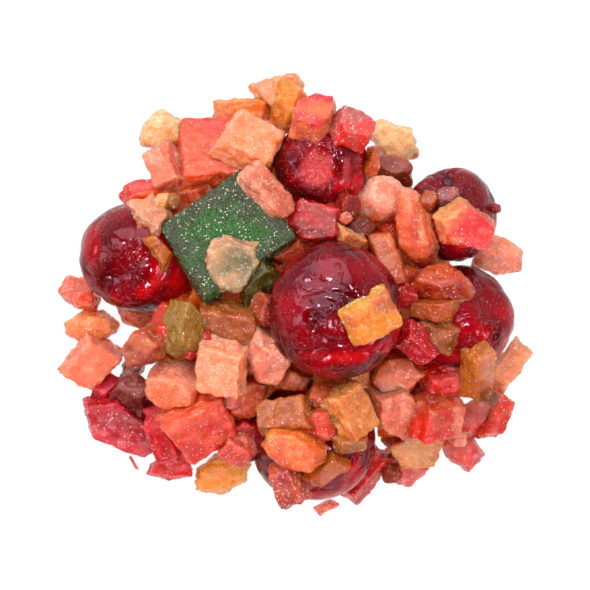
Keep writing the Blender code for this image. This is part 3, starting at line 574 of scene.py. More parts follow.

# %% [markdown]
# The round mesh that every bit starts from is a ball made of even triangles. Each of its points is a
# direction. Along a direction, the flat faces of a cut bit are met at different distances, and the
# nearest one is the surface. A soft minimum of those distances gives the same shape with its edges
# rounded, as syrup and handling round them. That is the whole trick: no bevels and no subdivision.
# Where the two nearest faces are almost equally near, the point is on an edge, which is paler,
# partly by wear and partly as painted edge light.

# %% From flat faces to a soft bit
TRIANGLE_EDGE = 0.42
FILLER_EDGE = 0.6
LEAST_STEPS = 8
MOST_STEPS = 24
BALL_SIDE = 0.8
SOFT_GROWTH = 1.02
EDGE_WIDTH = 0.09
LEAST_DISTANCE = 0.05


def ball_of(steps):
    """The directions and triangles of a ball whose twenty sides are each cut into steps by steps."""
    ball = bmesh.new()
    bmesh.ops.create_icosphere(ball, subdivisions=1, radius=1.0)
    bmesh.ops.subdivide_edges(ball, edges=list(ball.edges), cuts=steps - 1, use_grid_fill=True)
    bmesh.ops.triangulate(ball, faces=list(ball.faces))
    ball.verts.index_update()
    ways = np.array([vertex.co[:] for vertex in ball.verts])
    triangles = np.array([[vertex.index for vertex in face.verts] for face in ball.faces])
    ball.free()
    return ways / np.linalg.norm(ways, axis=1, keepdims=True), triangles


def normals_of(points, triangles):
    """The normal at each point of a mesh."""
    corners = points[triangles]
    faces = np.cross(corners[:, 1] - corners[:, 0], corners[:, 2] - corners[:, 0])
    normals = np.zeros_like(points)
    for corner in range(3):
        np.add.at(normals, triangles[:, corner], faces)
    return normals / np.maximum(np.linalg.norm(normals, axis=1, keepdims=True), 1e-12)


def soft_bit(name, form, size, sharpness):
    """A bit with rounded edges in its own frame: points, triangles, and how near an edge each point is."""
    size = np.array(size)
    vertices, faces = hull_of(corner_points(form, *size, draw_of(name)) / size)
    flat = np.unique(np.column_stack(planes_of(vertices, faces)).round(3), axis=0)
    normals, distances = flat[:, :3], flat[:, 3]
    wanted = FILLER_EDGE if name.startswith("filler") else TRIANGLE_EDGE
    steps = int(np.clip(round(size.max() * BALL_SIDE / wanted), LEAST_STEPS, MOST_STEPS))
    if steps not in BALLS:
        BALLS[steps] = ball_of(steps)
    ways, triangles = BALLS[steps]
    pull = np.clip(ways @ normals.T / np.maximum(distances, LEAST_DISTANCE), 0.0, None)
    radii = (pull ** sharpness).sum(axis=1) ** (-1.0 / sharpness)
    nearest = np.sort(pull, axis=1)
    # Near an edge the colour is paler: partly wear, partly painted edge light.
    edge_wear_and_light = np.clip((nearest[:, -2] / nearest[:, -1] - 1.0) / EDGE_WIDTH + 1.0, 0.0, 1.0)
    points = ways * radii[:, None]
    points = points / (points.max(axis=0) - points.min(axis=0))
    return points * size * SOFT_GROWTH, triangles, edge_wear_and_light


BALLS = {}
points, triangles, edge_wear_and_light = soft_bit(TOP[0][0], TOP[0][2], TOP[0][5:8], 34.0)
print(TOP[0][0] + ":", len(points), "points,", len(triangles), "triangles")

# %% [markdown]
# Some bits have two colours: an unripe corner, a patch that dye or syrup missed. Other spots are
# painted light: painted sheen on a face turned to the big light, as on the top cherry and the crimson
# bits, and painted glow where light leaves a bit or a cherry. A spot is a soft-edged oval with a
# ragged border on the upper side of its bit: its place from the bit's middle and its two reaches in
# millimetres, its colour, and how strong it is. A few ovals on a few bits are enough for the eye to
# take all for fruit.

# %% Spots of another colour, and spots of painted light
SPOT_RAG = 0.5
RAG_LENGTH = 1.8
RAG_SEED = 40.0
SPOT_EDGE = 5.0
SPOT_FLOOR = -1.0
MOST_POWER = 30.0
SPOTS_AND_PAINTED_LIGHT = {
    # The pink E07088 spots on crimson_main are painted sheen.
    "crimson_main": (
        (1.5, 0.8, 4.0, 1.6, "A00016", 0.7), (-3.4, -1.2, 2.0, 1.1, "E07088", 0.7),
        (0.0, -3.2, 2.2, 1.1, "E07088", 0.7), (3.4, -5.0, 2.2, 1.1, "E07088", 0.7),
    ),
    "almond": ((0.0, 0.8, 0.8, 3.6, "B06060", 0.5),),
    "red_peach_piece": ((2.2, -0.6, 3.2, 3.4, "F02830", 1.0), (-0.6, -3.6, 2.6, 1.2, "D81820", 0.8)),
    "yellow_chip": ((2.6, 2.2, 2.4, 1.8, "B87868", 0.7), (-3.4, -0.8, 1.2, 1.6, "C08868", 0.5)),
    # red_curl's pink DC7078 spot is painted sheen.
    "red_curl": ((2.0, -1.0, 5.0, 1.8, "F88818", 1.0), (-3.4, 1.6, 2.2, 0.9, "DC7078", 0.6)),
    # Both of cherry_top's pale spots are painted sheen.
    "cherry_top": ((-0.9, -0.6, 2.4, 2.9, "C06060", 0.8), (4.0, -1.4, 0.6, 2.4, "B06068", 0.6)),
    # cherry_left's bright red D00810 spot, low on its right, is painted glow.
    "cherry_left": ((-7.8, 2.2, 1.6, 3.4, "A80818", 0.6), (9.0, -4.6, 3.4, 3.0, "D00810", 0.7)),
    "cherry_right": ((-4.0, 3.0, 3.0, 2.4, "B80808", 0.6), (3.0, -5.0, 3.0, 2.0, "980008", 0.5)),
    "cherry_top_right": ((-0.8, 4.2, 1.0, 2.6, "380004", 0.8),),
    "yellow_piece": ((0.4, -3.2, 4.0, 0.9, "F4D0A8", 0.8),),
    "green_square": ((1.0, -1.0, 5.6, 3.4, "388418", 0.7),),
    "beige_flake": ((0.4, 0.2, 2.6, 2.2, "7C8C68", 0.7),),
    "low_right_red": ((1.8, 2.2, 2.0, 1.2, "F0B0B0", 0.6),),
    "red_orange_lump": ((0.4, 2.2, 3.0, 1.5, "C88890", 0.8),),
    "brown_red_square": ((-2.6, -2.2, 2.0, 2.4, "F03010", 0.9), (3.6, 0.0, 0.8, 3.8, "F0B0A0", 0.7)),
    "amber_tall": ((1.8, 0.0, 1.2, 5.4, "E8B8A0", 0.8),),
    "red_pink_wedge": ((-2.6, 2.2, 2.6, 1.4, "F02810", 0.9),),
    "left_salmon": ((1.6, -1.2, 2.2, 1.4, "F86820", 0.7),),
    # big_slab's pink spot, on its side towards the light, is painted sheen.
    "big_slab": ((-2.0, 4.6, 5.4, 1.4, "E05058", 0.6),),
    # salmon_lump's pale spot is painted light on its lit side.
    "salmon_lump": ((1.0, 2.0, 3.0, 1.4, "F8C0B0", 0.5),),
    # pale_pink_lump's orange spot, on its low side, is painted glow.
    "pale_pink_lump": ((0.6, -3.0, 3.6, 1.0, "F08C50", 0.7),),
}


def spotted(colour, points, spots):
    """Colours with spots mixed in."""
    for across, along, reach_x, reach_y, code, most in spots:
        off = ((points[:, 0] - across) / reach_x) ** 2 + ((points[:, 1] - along) / reach_y) ** 2
        off = off + SPOT_RAG * noise(points, RAG_LENGTH, across + RAG_SEED)
        share = most / (1.0 + np.exp(np.clip((off - 1.0) * SPOT_EDGE, -MOST_POWER, MOST_POWER)))
        share = (share * (points[:, 2] > SPOT_FLOOR))[:, None]
        colour = colour * (1.0 - share) + deeper(linear(code)) * share
    return colour


print("bits with spots:", len(SPOTS_AND_PAINTED_LIGHT))

# %% [markdown]
# Each finish has its own surface. Papaya is stringy along its length, syrup-soaked peel is creased,
# sugared peel is lumpy with a crumbly edge, and dried scraps are torn all round. A finish gives how
# sharp its edges are, the depths of its lumps, creases, strings and tears in millimetres, and how
# much of its paleness is frost on the rim. The knife left some bits rounder, so they are named.

# %% The surface of each finish
FINISHES = {
    "papaya": {"sharp": 30.0, "lump": 0.24, "crease": 0.08, "string": 0.16, "torn": 0.55, "frost": 0.45},
    "clear": {"sharp": 20.0, "lump": 0.30, "crease": 0.20, "string": 0.08, "torn": 0.45, "frost": 0.45},
    "sugared": {"sharp": 28.0, "lump": 0.24, "crease": 0.08, "string": 0.08, "torn": 0.62, "frost": 0.5},
    "thin": {"sharp": 28.0, "lump": 0.30, "crease": 0.20, "string": 0.05, "torn": 2.00, "frost": 0.9},
    "green": {"sharp": 34.0, "lump": 0.12, "crease": 0.05, "string": 0.03, "torn": 0.10, "frost": 0.9},
}
FINISH_OF = {
    "salmon": "papaya",
    "orange": "papaya",
    "red": "papaya",
    "crimson": "papaya",
    "yellow": "papaya",
    "amber": "clear",
    "brown": "clear",
    "olive": "clear",
    "peach": "sugared",
    "pink": "sugared",
    "beige": "sugared",
    "green": "green",
}
THIN_BITS = ("beige_flake", "cherry_flake")
ROUNDED_BITS = {
    "pink_rod": 7.0,
    "red_curl": 8.0,
    "almond": 10.0,
    "brown_long": 10.0,
    "left_oval": 12.0,
    "salmon_lump": 12.0,
    "pale_pink_lump": 18.0,
    "orange_wrinkled": 12.0,
    "amber_wrinkled": 12.0,
    "amber_chip": 12.0,
}
ROUNDED_CALM = 0.5
LUMP_LENGTH = 3.0
CREASE_LENGTH = 2.0
STRING_LENGTH = 0.9
TEAR_LENGTH = 1.7
CRUMB_LENGTH = 0.8
CRUMB = 0.07
FULL_RELIEF_FROM = 4.5
ALONG_STRINGS = np.array([0.28, 1.0, 1.0])
WARP = 0.5
WARP_LENGTH = 1.5
FINE_TEAR = 0.5
LEAST_OUTWARD = 0.3
MOST_SEED = 90.0


def finish_of(name, fruit):
    """The finish of a bit: its fruit's, but for the thin dried scraps."""
    return "thin" if name in THIN_BITS else FINISH_OF[fruit]


def relief_of(points, seed):
    """Lumps, creases, strings and crumbs at each point, kept apart by a shift of the seed."""
    warp = WARP * noise(points, WARP_LENGTH, seed + 3.0)[:, None]
    return {
        "lump": noise(points, LUMP_LENGTH, seed),
        "crease": creases(points + warp, CREASE_LENGTH, seed + 9.0),
        "string": noise(points * ALONG_STRINGS, STRING_LENGTH, seed + 17.0),
        "crumb": noise(points, CRUMB_LENGTH, seed + 23.0),
    }


def cut_bit(name, fruit, form, size):
    """One bit's rough surface in its own frame, and what its colours need to know of each point."""
    finish = FINISHES[finish_of(name, fruit)]
    points, triangles, edge_wear_and_light = soft_bit(name, form, size, ROUNDED_BITS.get(name, finish["sharp"]))
    depth = min(1.0, min(size) / FULL_RELIEF_FROM)
    seed = draw_of(name).uniform(0.0, MOST_SEED)
    rim = np.abs(points / (np.array(size) / 2.0))[:, :2].max(axis=1)
    tear = noise(points, TEAR_LENGTH, seed + 51.0) + FINE_TEAR * noise(points, CRUMB_LENGTH, seed + 57.0)
    outward = points[:, :2] / np.linalg.norm(points[:, :2], axis=1, keepdims=True).clip(LEAST_OUTWARD)
    points[:, :2] += outward * (depth * finish["torn"] * tear * rim ** 2)[:, None]
    relief = relief_of(points, seed)
    rise = finish["lump"] * relief["lump"] + finish["crease"] * relief["crease"]
    rise = rise + finish["string"] * relief["string"] + CRUMB * relief["crumb"]
    depth = depth * (ROUNDED_CALM if name in ROUNDED_BITS else 1.0)
    points = points + normals_of(points, triangles) * (depth * rise)[:, None]
    return {"points": points, "triangles": triangles, "edge_wear_and_light": edge_wear_and_light, "rim": rim, "seed": seed, **relief}


trial = cut_bit(*bits[0][:4])
print(bits[0][0], "has", len(trial["triangles"]), "triangles")

# %% [markdown]
# The colour follows the bit too. The side of each bit towards the top of the picture, where the big
# light stands, is painted paler, as sheen, and the far side deeper, as a painted glow of light that
# leaves there. Its rim is frosted where it has dried, and a cut edge is paler, partly by wear and
# partly as painted edge light. Faces turned to the big light are painted paler still, as sheen, and
# raised creases and strings are painted paler and the hollows deeper, as painted light and shade.
# All of that is one number from deep to pale for each point, with some noise in it, and it mixes the
# bit's two colours.

# %% The colours of a bit
LIGHT_SIDE_SHARE = 0.58
EDGE_LIGHT_AND_WEAR_SHARE = 0.9
EDGE_BASE = 0.4
LIT_SIDE = np.array([-0.30, 0.60, 0.74])
LIT_MIDDLE = 0.6
PAINTED_SHEEN_SHARE = 0.5
PATCH_LENGTH = 2.6
FINE_PATCH_LENGTH = 1.1
FINE_PATCHES = 0.5
PATCH_SHARE = 0.22
PAINTED_CREASE_SHADE = 0.2
PAINTED_STRING_SHADE = 0.15
MOST_PALE = 1.25


def fruit_bit(name, fruit, form, size, pose, pale, deep):
    """The finished surface of one bit: points, triangles and a colour for each point."""
    cut = cut_bit(name, fruit, form, size)
    points, triangles, seed = cut["points"], cut["triangles"], cut["seed"]
    turn = np.array(pose.to_3x3()).T
    placed = points @ turn
    # How far each face turns to the big light; those faces are painted paler, as sheen.
    lit = normals_of(points, triangles) @ turn @ LIT_SIDE - LIT_MIDDLE
    # upward runs towards the top of the picture, where the big light stands: that side is painted paler, as
    # sheen, and the far side deeper, as painted glow.
    upward = placed[:, 1] / np.abs(placed[:, 1]).max()
    patches = noise(points, PATCH_LENGTH, seed + 31.0)
    patches = patches + FINE_PATCHES * noise(points, FINE_PATCH_LENGTH, seed + 43.0)
    frost = FINISHES[finish_of(name, fruit)]["frost"]
    # The painted sheen and glow across the bit, and its frosted rim.
    share = 0.5 + (1.0 - frost) * LIGHT_SIDE_SHARE * upward + frost * (cut["rim"] ** 2 - 0.5)
    # Paler edges, partly wear and partly painted edge light, and painted sheen on faces turned to the big
    # light.
    share = share + EDGE_LIGHT_AND_WEAR_SHARE * cut["edge_wear_and_light"] * np.clip(EDGE_BASE + patches, 0.0, 1.0) + PAINTED_SHEEN_SHARE * lit
    # Raised creases and strings are painted paler and the hollows deeper: painted light and shade.
    share = share + PATCH_SHARE * patches + PAINTED_CREASE_SHADE * cut["crease"] + PAINTED_STRING_SHADE * cut["string"]
    share = np.clip(share, 0.0, MOST_PALE)[:, None]
    colour = deeper(linear(deep)) * (1.0 - share) + deeper(linear(pale)) * share
    colour = spotted(colour, placed, SPOTS_AND_PAINTED_LIGHT.get(name, ()))
    return placed + np.array(pose.translation), triangles, colour


trial = fruit_bit(*bits[0])
print(bits[0][0], "is on average", trial[2].mean(axis=0).round(2))

# %% [markdown]
# Points, triangles and colours become a Blender mesh in one helper. The colours go along as a colour
# attribute, which the materials read, so that neighbouring bits of one finish can differ as they do
# in a real mix. Writing whole arrays with foreach_set is the fast way in.

# %% From arrays to a mesh object
# The layer holds each point's colour with its painted light and shade.
FLESH_AND_PAINTED_LIGHT_LAYER = "flesh"


def mesh_object(name, parts, material):
    """One object from several (points, triangles, colours) in millimetres."""
    points = np.vstack([part[0] for part in parts]) * MM
    starts = np.cumsum([0] + [len(part[0]) for part in parts[:-1]])
    triangles = np.vstack([part[1] + start for part, start in zip(parts, starts)])
    colours = np.vstack([part[2] for part in parts])
    mesh = bpy.data.meshes.new(name)
    mesh.vertices.add(len(points))
    mesh.vertices.foreach_set("co", points.astype(np.float32).ravel())
    mesh.loops.add(triangles.size)
    mesh.loops.foreach_set("vertex_index", triangles.astype(np.int32).ravel())
    mesh.polygons.add(len(triangles))
    mesh.polygons.foreach_set("loop_start", np.arange(0, triangles.size, 3, dtype=np.int32))
    mesh.update(calc_edges=True)
    layer = mesh.color_attributes.new(FLESH_AND_PAINTED_LIGHT_LAYER, "FLOAT_COLOR", "POINT")
    rgba = np.column_stack([np.clip(colours, 0.0, 1.0), np.ones(len(colours))])
    layer.data.foreach_set("color", rgba.astype(np.float32).ravel())
    mesh.shade_smooth()
    mesh.materials.append(material)
    made = bpy.data.objects.new(name, mesh)
    bpy.context.scene.collection.objects.link(made)
    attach(made, "root")
    return made


print("colour layer:", FLESH_AND_PAINTED_LIGHT_LAYER)

# %% [markdown]
# Materials are built from nodes. One helper adds a node, sets its properties and fills its sockets:
# a value is set, and the output of another node is linked. A material's own shader is filled the
# same way.

# %% One helper for nodes
def fill_sockets(tree, node, **sockets):
    """Sets each socket to a value or links another node's output. In a name, _ stands for a space."""
    for key, value in sockets.items():
        socket = node.inputs[int(key[1:])] if key[1:].isdigit() else node.inputs[key.replace("_", " ")]
        if isinstance(value, bpy.types.NodeSocket):
            tree.links.new(value, socket)
        else:
            socket.default_value = value


def add_node(tree, kind, settings=None, **sockets):
    """Adds a node with its settings and its sockets."""
    made = tree.nodes.new(kind)
    for key, value in (settings or {}).items():
        setattr(made, key, value)
    fill_sockets(tree, made, **sockets)
    return made


def new_material(name):
    """An empty node material: its tree and its Principled shader."""
    material = bpy.data.materials.new(name)
    material.use_nodes = True
    tree = material.node_tree
    return material, tree, tree.nodes["Principled BSDF"]


print("nodes are added by", add_node.__name__)

# %% [markdown]
# Candied papaya and peel are flesh whose water was changed for sugar syrup. They are firm gels: light
# goes in, scatters for a few millimetres and comes out tinted, and some of it passes right through.
# In shader words that is subsurface scattering with a red-leaning radius, some rough transmission and
# an index of refraction near that of sugar glass, 1.49. The skin is wet in patches, which glint, and
# dull in others. Dried syrup leaves a film of fine sugar, drawn here as pale grains in the colour,
# since light that scatters inside hides most of a fine relief. The real grains are under a tenth of
# a millimetre, too fine for the picture, so they are drawn a quarter to a third of one wide.

# %% Candied flesh
SUGAR_IOR = 1.49
GRAIN = 0.24
GRAIN_WEIGHT = 2.2
GRAIN_CONTRAST = 0.36
GRAIN_RANGE = (1.05, 2.15)
CLOUD = 1.6
WET_RANGE = (0.42, 0.62)
CRYSTAL = 0.34
CRYSTAL_RANGE = (0.10, 0.45)
CRYSTAL_COLOUR = "FDEFE2"
FIBRE = 0.7
FIBRE_BEND = 0.6
RELIEF = 0.20
RED_DEEPEST = (1.0, 0.22, 0.08)


def mottled(tree, place, cloud):
    """The flesh colour of each point, lighter and darker by grains and clouds of syrup."""
    flesh = add_node(tree, "ShaderNodeAttribute", {"attribute_name": FLESH_AND_PAINTED_LIGHT_LAYER})
    grain = add_node(tree, "ShaderNodeTexNoise", Vector=place, Scale=1.0 / (GRAIN * MM), Detail=2.0)
    both = add_node(tree, "ShaderNodeMath", {"operation": "MULTIPLY_ADD"}, _0=grain.outputs["Fac"],
                    _1=GRAIN_WEIGHT, _2=cloud)
    tone = add_node(tree, "ShaderNodeMapRange", Value=both.outputs["Value"], From_Min=GRAIN_RANGE[0],
                    From_Max=GRAIN_RANGE[1], To_Min=1.0 - GRAIN_CONTRAST, To_Max=1.0 + GRAIN_CONTRAST)
    shade = add_node(tree, "ShaderNodeHueSaturation", Color=flesh.outputs["Color"],
                     Value=tone.outputs["Result"])
    return shade.outputs["Color"]


def sugar_specked(tree, place, colour, sugared):
    """A colour with pale crystals in it; sugared is the share of them that shows."""
    crystal = add_node(tree, "ShaderNodeTexVoronoi", Vector=place, Scale=1.0 / (CRYSTAL * MM))
    middle = add_node(tree, "ShaderNodeMapRange", Value=crystal.outputs["Distance"],
                      From_Min=CRYSTAL_RANGE[0], From_Max=CRYSTAL_RANGE[1], To_Min=1.0, To_Max=0.0)
    lone = add_node(tree, "ShaderNodeSeparateColor", Color=crystal.outputs["Color"])
    few = add_node(tree, "ShaderNodeMath", {"operation": "LESS_THAN"}, _0=lone.outputs["Red"], _1=sugared)
    speck = add_node(tree, "ShaderNodeMath", {"operation": "MULTIPLY"}, _0=middle.outputs["Result"],
                     _1=few.outputs["Value"])
    mixed = add_node(tree, "ShaderNodeMix", {"data_type": "RGBA"}, _0=speck.outputs["Value"],
                     _6=colour, _7=rgba(CRYSTAL_COLOUR))
    return mixed.outputs["Result"]


def flesh_material(name, reach, clear, wet, dry, sugared, gloss):
    """Candied flesh. reach is how far red light goes in, in millimetres; wet and dry are roughnesses."""
    material, tree, shader = new_material(name)
    place = add_node(tree, "ShaderNodeTexCoord").outputs["Object"]
    cloud = add_node(tree, "ShaderNodeTexNoise", Vector=place, Scale=1.0 / (CLOUD * MM), Detail=4.0)
    colour = sugar_specked(tree, place, mottled(tree, place, cloud.outputs["Fac"]), sugared)
    dull = add_node(tree, "ShaderNodeMapRange", Value=cloud.outputs["Fac"], From_Min=WET_RANGE[0],
                    From_Max=WET_RANGE[1], To_Min=wet, To_Max=dry)
    fine = add_node(tree, "ShaderNodeTexNoise", Vector=place, Scale=1.0 / (FIBRE * MM), Detail=4.0,
                    Roughness=0.6, Distortion=FIBRE_BEND)
    relief = add_node(tree, "ShaderNodeBump", Height=fine.outputs["Fac"], Strength=1.0,
                      Distance=RELIEF * MM)
    fill_sockets(tree, shader, Base_Color=colour, Roughness=dull.outputs["Result"],
                 Normal=relief.outputs["Normal"], IOR=SUGAR_IOR, Specular_IOR_Level=gloss,
                 Subsurface_Weight=1.0, Subsurface_Scale=reach * MM, Subsurface_Radius=RED_DEEPEST,
                 Transmission_Weight=clear)
    return material


# Papaya is moist and cloudy, soaked peel clear and wet, and sugared peel the dullest. A thin scrap
# of dried syrup scatters little and lets much of the light straight through.
MATERIALS = {
    "papaya": flesh_material("moist_candied_papaya", 3.0, 0.28, 0.06, 0.30, 0.12, 0.5),
    "clear": flesh_material("syrup_soaked_peel", 3.4, 0.40, 0.04, 0.26, 0.09, 0.5),
    "sugared": flesh_material("sugared_citrus_peel", 2.8, 0.18, 0.12, 0.36, 0.22, 0.45),
    "thin": flesh_material("thin_dried_syrup", 1.0, 0.46, 0.08, 0.28, 0.16, 0.5),
}
print("flesh materials:", ", ".join(material.name for material in MATERIALS.values()))

# %% [markdown]
# The green square is candied melon rind, dyed and cut in a thick tile. Its face is smooth and dark,
# paler along its cut edges, and the whole of it is peppered with fine sugar that catches the light.
# It is denser than papaya, so light goes in less far, and its gloss is low, because a white tent
# mirrored in it would turn the green grey.

# %% Green melon rind
MATERIALS["green"] = flesh_material("dyed_melon_rind", 1.2, 0.10, 0.12, 0.30, 0.14, 0.12)
print("green material:", MATERIALS["green"].name)

# %% [markdown]
# A glace cherry is the darkest and glossiest thing here: dyed flesh under a film of dried syrup. The
# colour is deep because light crosses a centimetre or more of red gel. What the eye reads is how the
# lights break up on the wrinkled skin, sharp on the wet parts and soft where fine sugar dulled it.
# The red gel under the film tints its reflections mauve, which is the Specular Tint's work here.

# %% Glace cherry
CHERRY_IOR = 1.38
CHERRY_SHEEN = "FFC4DD"
CHERRY_CLOUDY = 0.4
CHERRY_REACH = 2.0
CHERRY_RED_DEEPEST = (1.0, 0.05, 0.05)
SMEAR = 3.0
WRINKLED_RANGE = (0.44, 0.60)
DULLED_RANGE = (0.35, 0.65)
SKIN_ROUGHNESS = (0.06, 0.20)
WRINKLE = 3.4
FINE_WRINKLE = 1.3
FINE_WRINKLES = 0.15
WRINKLE_WIDTH = 0.045
FINE_WRINKLE_WIDTH = 0.09
WRINKLE_BEND = 1.2
FINE_WRINKLE_BEND = 0.8
WRINKLE_HEIGHT = 0.16
WRINKLE_STRENGTH = 0.9


def ridge_lines(tree, place, wavelength, width, bent):
    """Thin raised lines: where smooth noise passes its middle value, they wander like wrinkles."""
    wave = add_node(tree, "ShaderNodeTexNoise", Vector=place, Scale=1.0 / (wavelength * MM), Detail=1.0,
                    Distortion=bent)
    off = add_node(tree, "ShaderNodeMath", {"operation": "SUBTRACT"}, _0=wave.outputs["Fac"], _1=0.5)
    off = add_node(tree, "ShaderNodeMath", {"operation": "ABSOLUTE"}, _0=off.outputs["Value"])
    line = add_node(tree, "ShaderNodeMapRange", {"interpolation_type": "SMOOTHSTEP"},
                    Value=off.outputs["Value"], From_Max=width, To_Min=1.0, To_Max=0.0)
    return line.outputs["Result"]


def cherry_material():
    """Dyed flesh under a film of syrup, wrinkled and dulled in patches."""
    material, tree, shader = new_material("glace_cherry_skin")
    place = add_node(tree, "ShaderNodeTexCoord").outputs["Object"]
    flesh = add_node(tree, "ShaderNodeAttribute", {"attribute_name": FLESH_AND_PAINTED_LIGHT_LAYER})
    wrinkle = ridge_lines(tree, place, WRINKLE, WRINKLE_WIDTH, WRINKLE_BEND)
    small = ridge_lines(tree, place, FINE_WRINKLE, FINE_WRINKLE_WIDTH, FINE_WRINKLE_BEND)
    smear = add_node(tree, "ShaderNodeTexNoise", Vector=place, Scale=1.0 / (SMEAR * MM), Detail=3.0)
    wrinkled = add_node(tree, "ShaderNodeMapRange", Value=smear.outputs["Fac"],
                        From_Min=WRINKLED_RANGE[0], From_Max=WRINKLED_RANGE[1])
    lines = add_node(tree, "ShaderNodeMath", {"operation": "MULTIPLY_ADD"}, _0=small, _1=FINE_WRINKLES,
                     _2=wrinkle)
    both = add_node(tree, "ShaderNodeMath", {"operation": "MULTIPLY"}, _0=lines.outputs["Value"],
                    _1=wrinkled.outputs["Result"])
    dull = add_node(tree, "ShaderNodeMapRange", Value=smear.outputs["Fac"], From_Min=DULLED_RANGE[0],
                    From_Max=DULLED_RANGE[1], To_Min=SKIN_ROUGHNESS[0], To_Max=SKIN_ROUGHNESS[1])
    relief = add_node(tree, "ShaderNodeBump", Height=both.outputs["Value"], Strength=WRINKLE_STRENGTH,
                      Distance=WRINKLE_HEIGHT * MM)
    fill_sockets(tree, shader, Base_Color=flesh.outputs["Color"], Roughness=dull.outputs["Result"],
                 Normal=relief.outputs["Normal"], IOR=CHERRY_IOR, Specular_Tint=rgba(CHERRY_SHEEN),
                 Subsurface_Weight=CHERRY_CLOUDY, Subsurface_Scale=CHERRY_REACH * MM,
                 Subsurface_Radius=CHERRY_RED_DEEPEST)
    return material


MATERIALS["cherry"] = cherry_material()
print("cherry material:", MATERIALS["cherry"].name)

# %% [markdown]
# A cherry's mesh is a ball with its dents pressed in. The wrinkles are real geometry, because they
# break the outline and the highlight alike: folds run out from each dent like the pleats of a drawn
# bag, and between them the skin has a fine net of creases, deep in some patches and absent in others.

# %% The cherries
CHERRY_STEPS = 38
SHALLOW = 1.0
PLEATS = 9
PLEAT_DEPTH = 0.46
PLEAT_FROM = 1.2
PLEAT_REACH = 0.6
PLEAT_SIDE = (0.31, 0.95, 0.05)
PLEAT_ROUND = 0.6
PLEAT_BEND = 3.0
PLEAT_TWIST = 0.8
PLEAT_LEAST = 0.4
PLEAT_CLOUDS = 1.6
UNIT_BALL = 9.0
NET_DEPTH = 0.36
NET_LENGTH = 4.2
NET_WARP = 1.2
NET_WARP_LENGTH = 4.0
FINE_NET_DEPTH = 0.06
FINE_NET_LENGTH = 1.3
PATCHY = 1.1
PATCH_WIDTH = 6.0
LEAST_PATCH = 0.05
SWELL_DEPTH = 0.3
SWELL_LENGTH = 7.0
SKIN_SHRINK = 0.15


def toward(azimuth, from_up):
    """The direction at a compass angle and an angle from straight up, in degrees."""
    across = math.sin(math.radians(from_up))
    return np.array([
        across * math.cos(math.radians(azimuth)),
        across * math.sin(math.radians(azimuth)),
        math.cos(math.radians(from_up)),
    ])


def pleats(ways, axis, half_width, seed):
    """Folds that run out from a dent, strongest just outside it."""
    side = np.cross(axis, PLEAT_SIDE)
    side = side / np.linalg.norm(side)
    around = np.arctan2(ways @ np.cross(axis, side), ways @ side)
    off = np.arccos(np.clip(ways @ axis, -1.0, 1.0)) / half_width
    skin = ways * UNIT_BALL
    bent = around * PLEATS / 2.0 + PLEAT_BEND * noise(skin, 6.0, seed) + PLEAT_TWIST * off
    some = np.clip(PLEAT_LEAST + PLEAT_CLOUDS * noise(skin, 7.0, seed + 61.0), 0.0, 1.0)
    near = np.exp(-((off - PLEAT_FROM) / PLEAT_REACH) ** 2)
    return some * (np.abs(np.sin(bent)) ** PLEAT_ROUND - PLEAT_ROUND) * near


def cherry_shape(ways, seed, radii, dents):
    """The wrinkled skin round a cherry's middle, and how folded and creased it is at each point."""
    depth = np.zeros(len(ways))
    folds = np.zeros(len(ways))
    for azimuth, from_up, deep, half_width in dents:
        axis = toward(azimuth, from_up)
        off = np.arccos(np.clip(ways @ axis, -1.0, 1.0)) / math.radians(half_width)
        depth += deep * np.exp(-off ** 2)
        if deep > SHALLOW:
            folds += pleats(ways, axis, math.radians(half_width), seed + azimuth)
    points = ways * np.array(radii) - ways * depth[:, None]
    warped = points + NET_WARP * noise(points, NET_WARP_LENGTH, seed)[:, None]
    patch = np.clip(0.5 + PATCHY * noise(points, PATCH_WIDTH, seed + 5.0), LEAST_PATCH, 1.0)
    net = patch * creases(warped, NET_LENGTH, seed + 11.0)
    fine = patch * creases(warped, FINE_NET_LENGTH, seed + 23.0)
    rise = PLEAT_DEPTH * folds + NET_DEPTH * net + FINE_NET_DEPTH * fine
    rise = rise + SWELL_DEPTH * noise(points, SWELL_LENGTH, seed + 29.0) - SKIN_SHRINK
    return points + ways * rise[:, None], folds, net


shape, folds, net = cherry_shape(ball_of(CHERRY_STEPS)[0], 0.0, CHERRIES[0][4:7], CHERRIES[0][7])
print(CHERRIES[0][0], "spans", np.ptp(shape, axis=0).round(1), "mm")

# %% [markdown]
# A cherry's colour is nearly black where the gel is thick and dark red elsewhere. Its folds and
# ridges are painted paler and its creases darker, as painted light and shade, and it has a painted
# glow on the side away from the big light, where light that went in comes out again. The shader's
# scattering alone is too faint for that through two centimetres of gel, so some of the glow is
# painted into the colour.

# %% The cherries' colours
CHERRY_SKIN = "8A000A"
CHERRY_DEEP = "420002"
CHERRY_GLOW = "C80408"
SKIN_SHARE = 0.4
SKIN_CLOUDS = 0.6
SKIN_CLOUD_LENGTH = 5.0
PAINTED_FOLD_SHADING = 0.35
PAINTED_NET_SHADING = 0.2
GLOW_WAY = (300.0, 65.0)
GLOW_LEAST = 0.1
GLOW_CLOUDS = 1.6
GLOW_CLOUD_LENGTH = 4.0
GLOW_MOST = 0.5


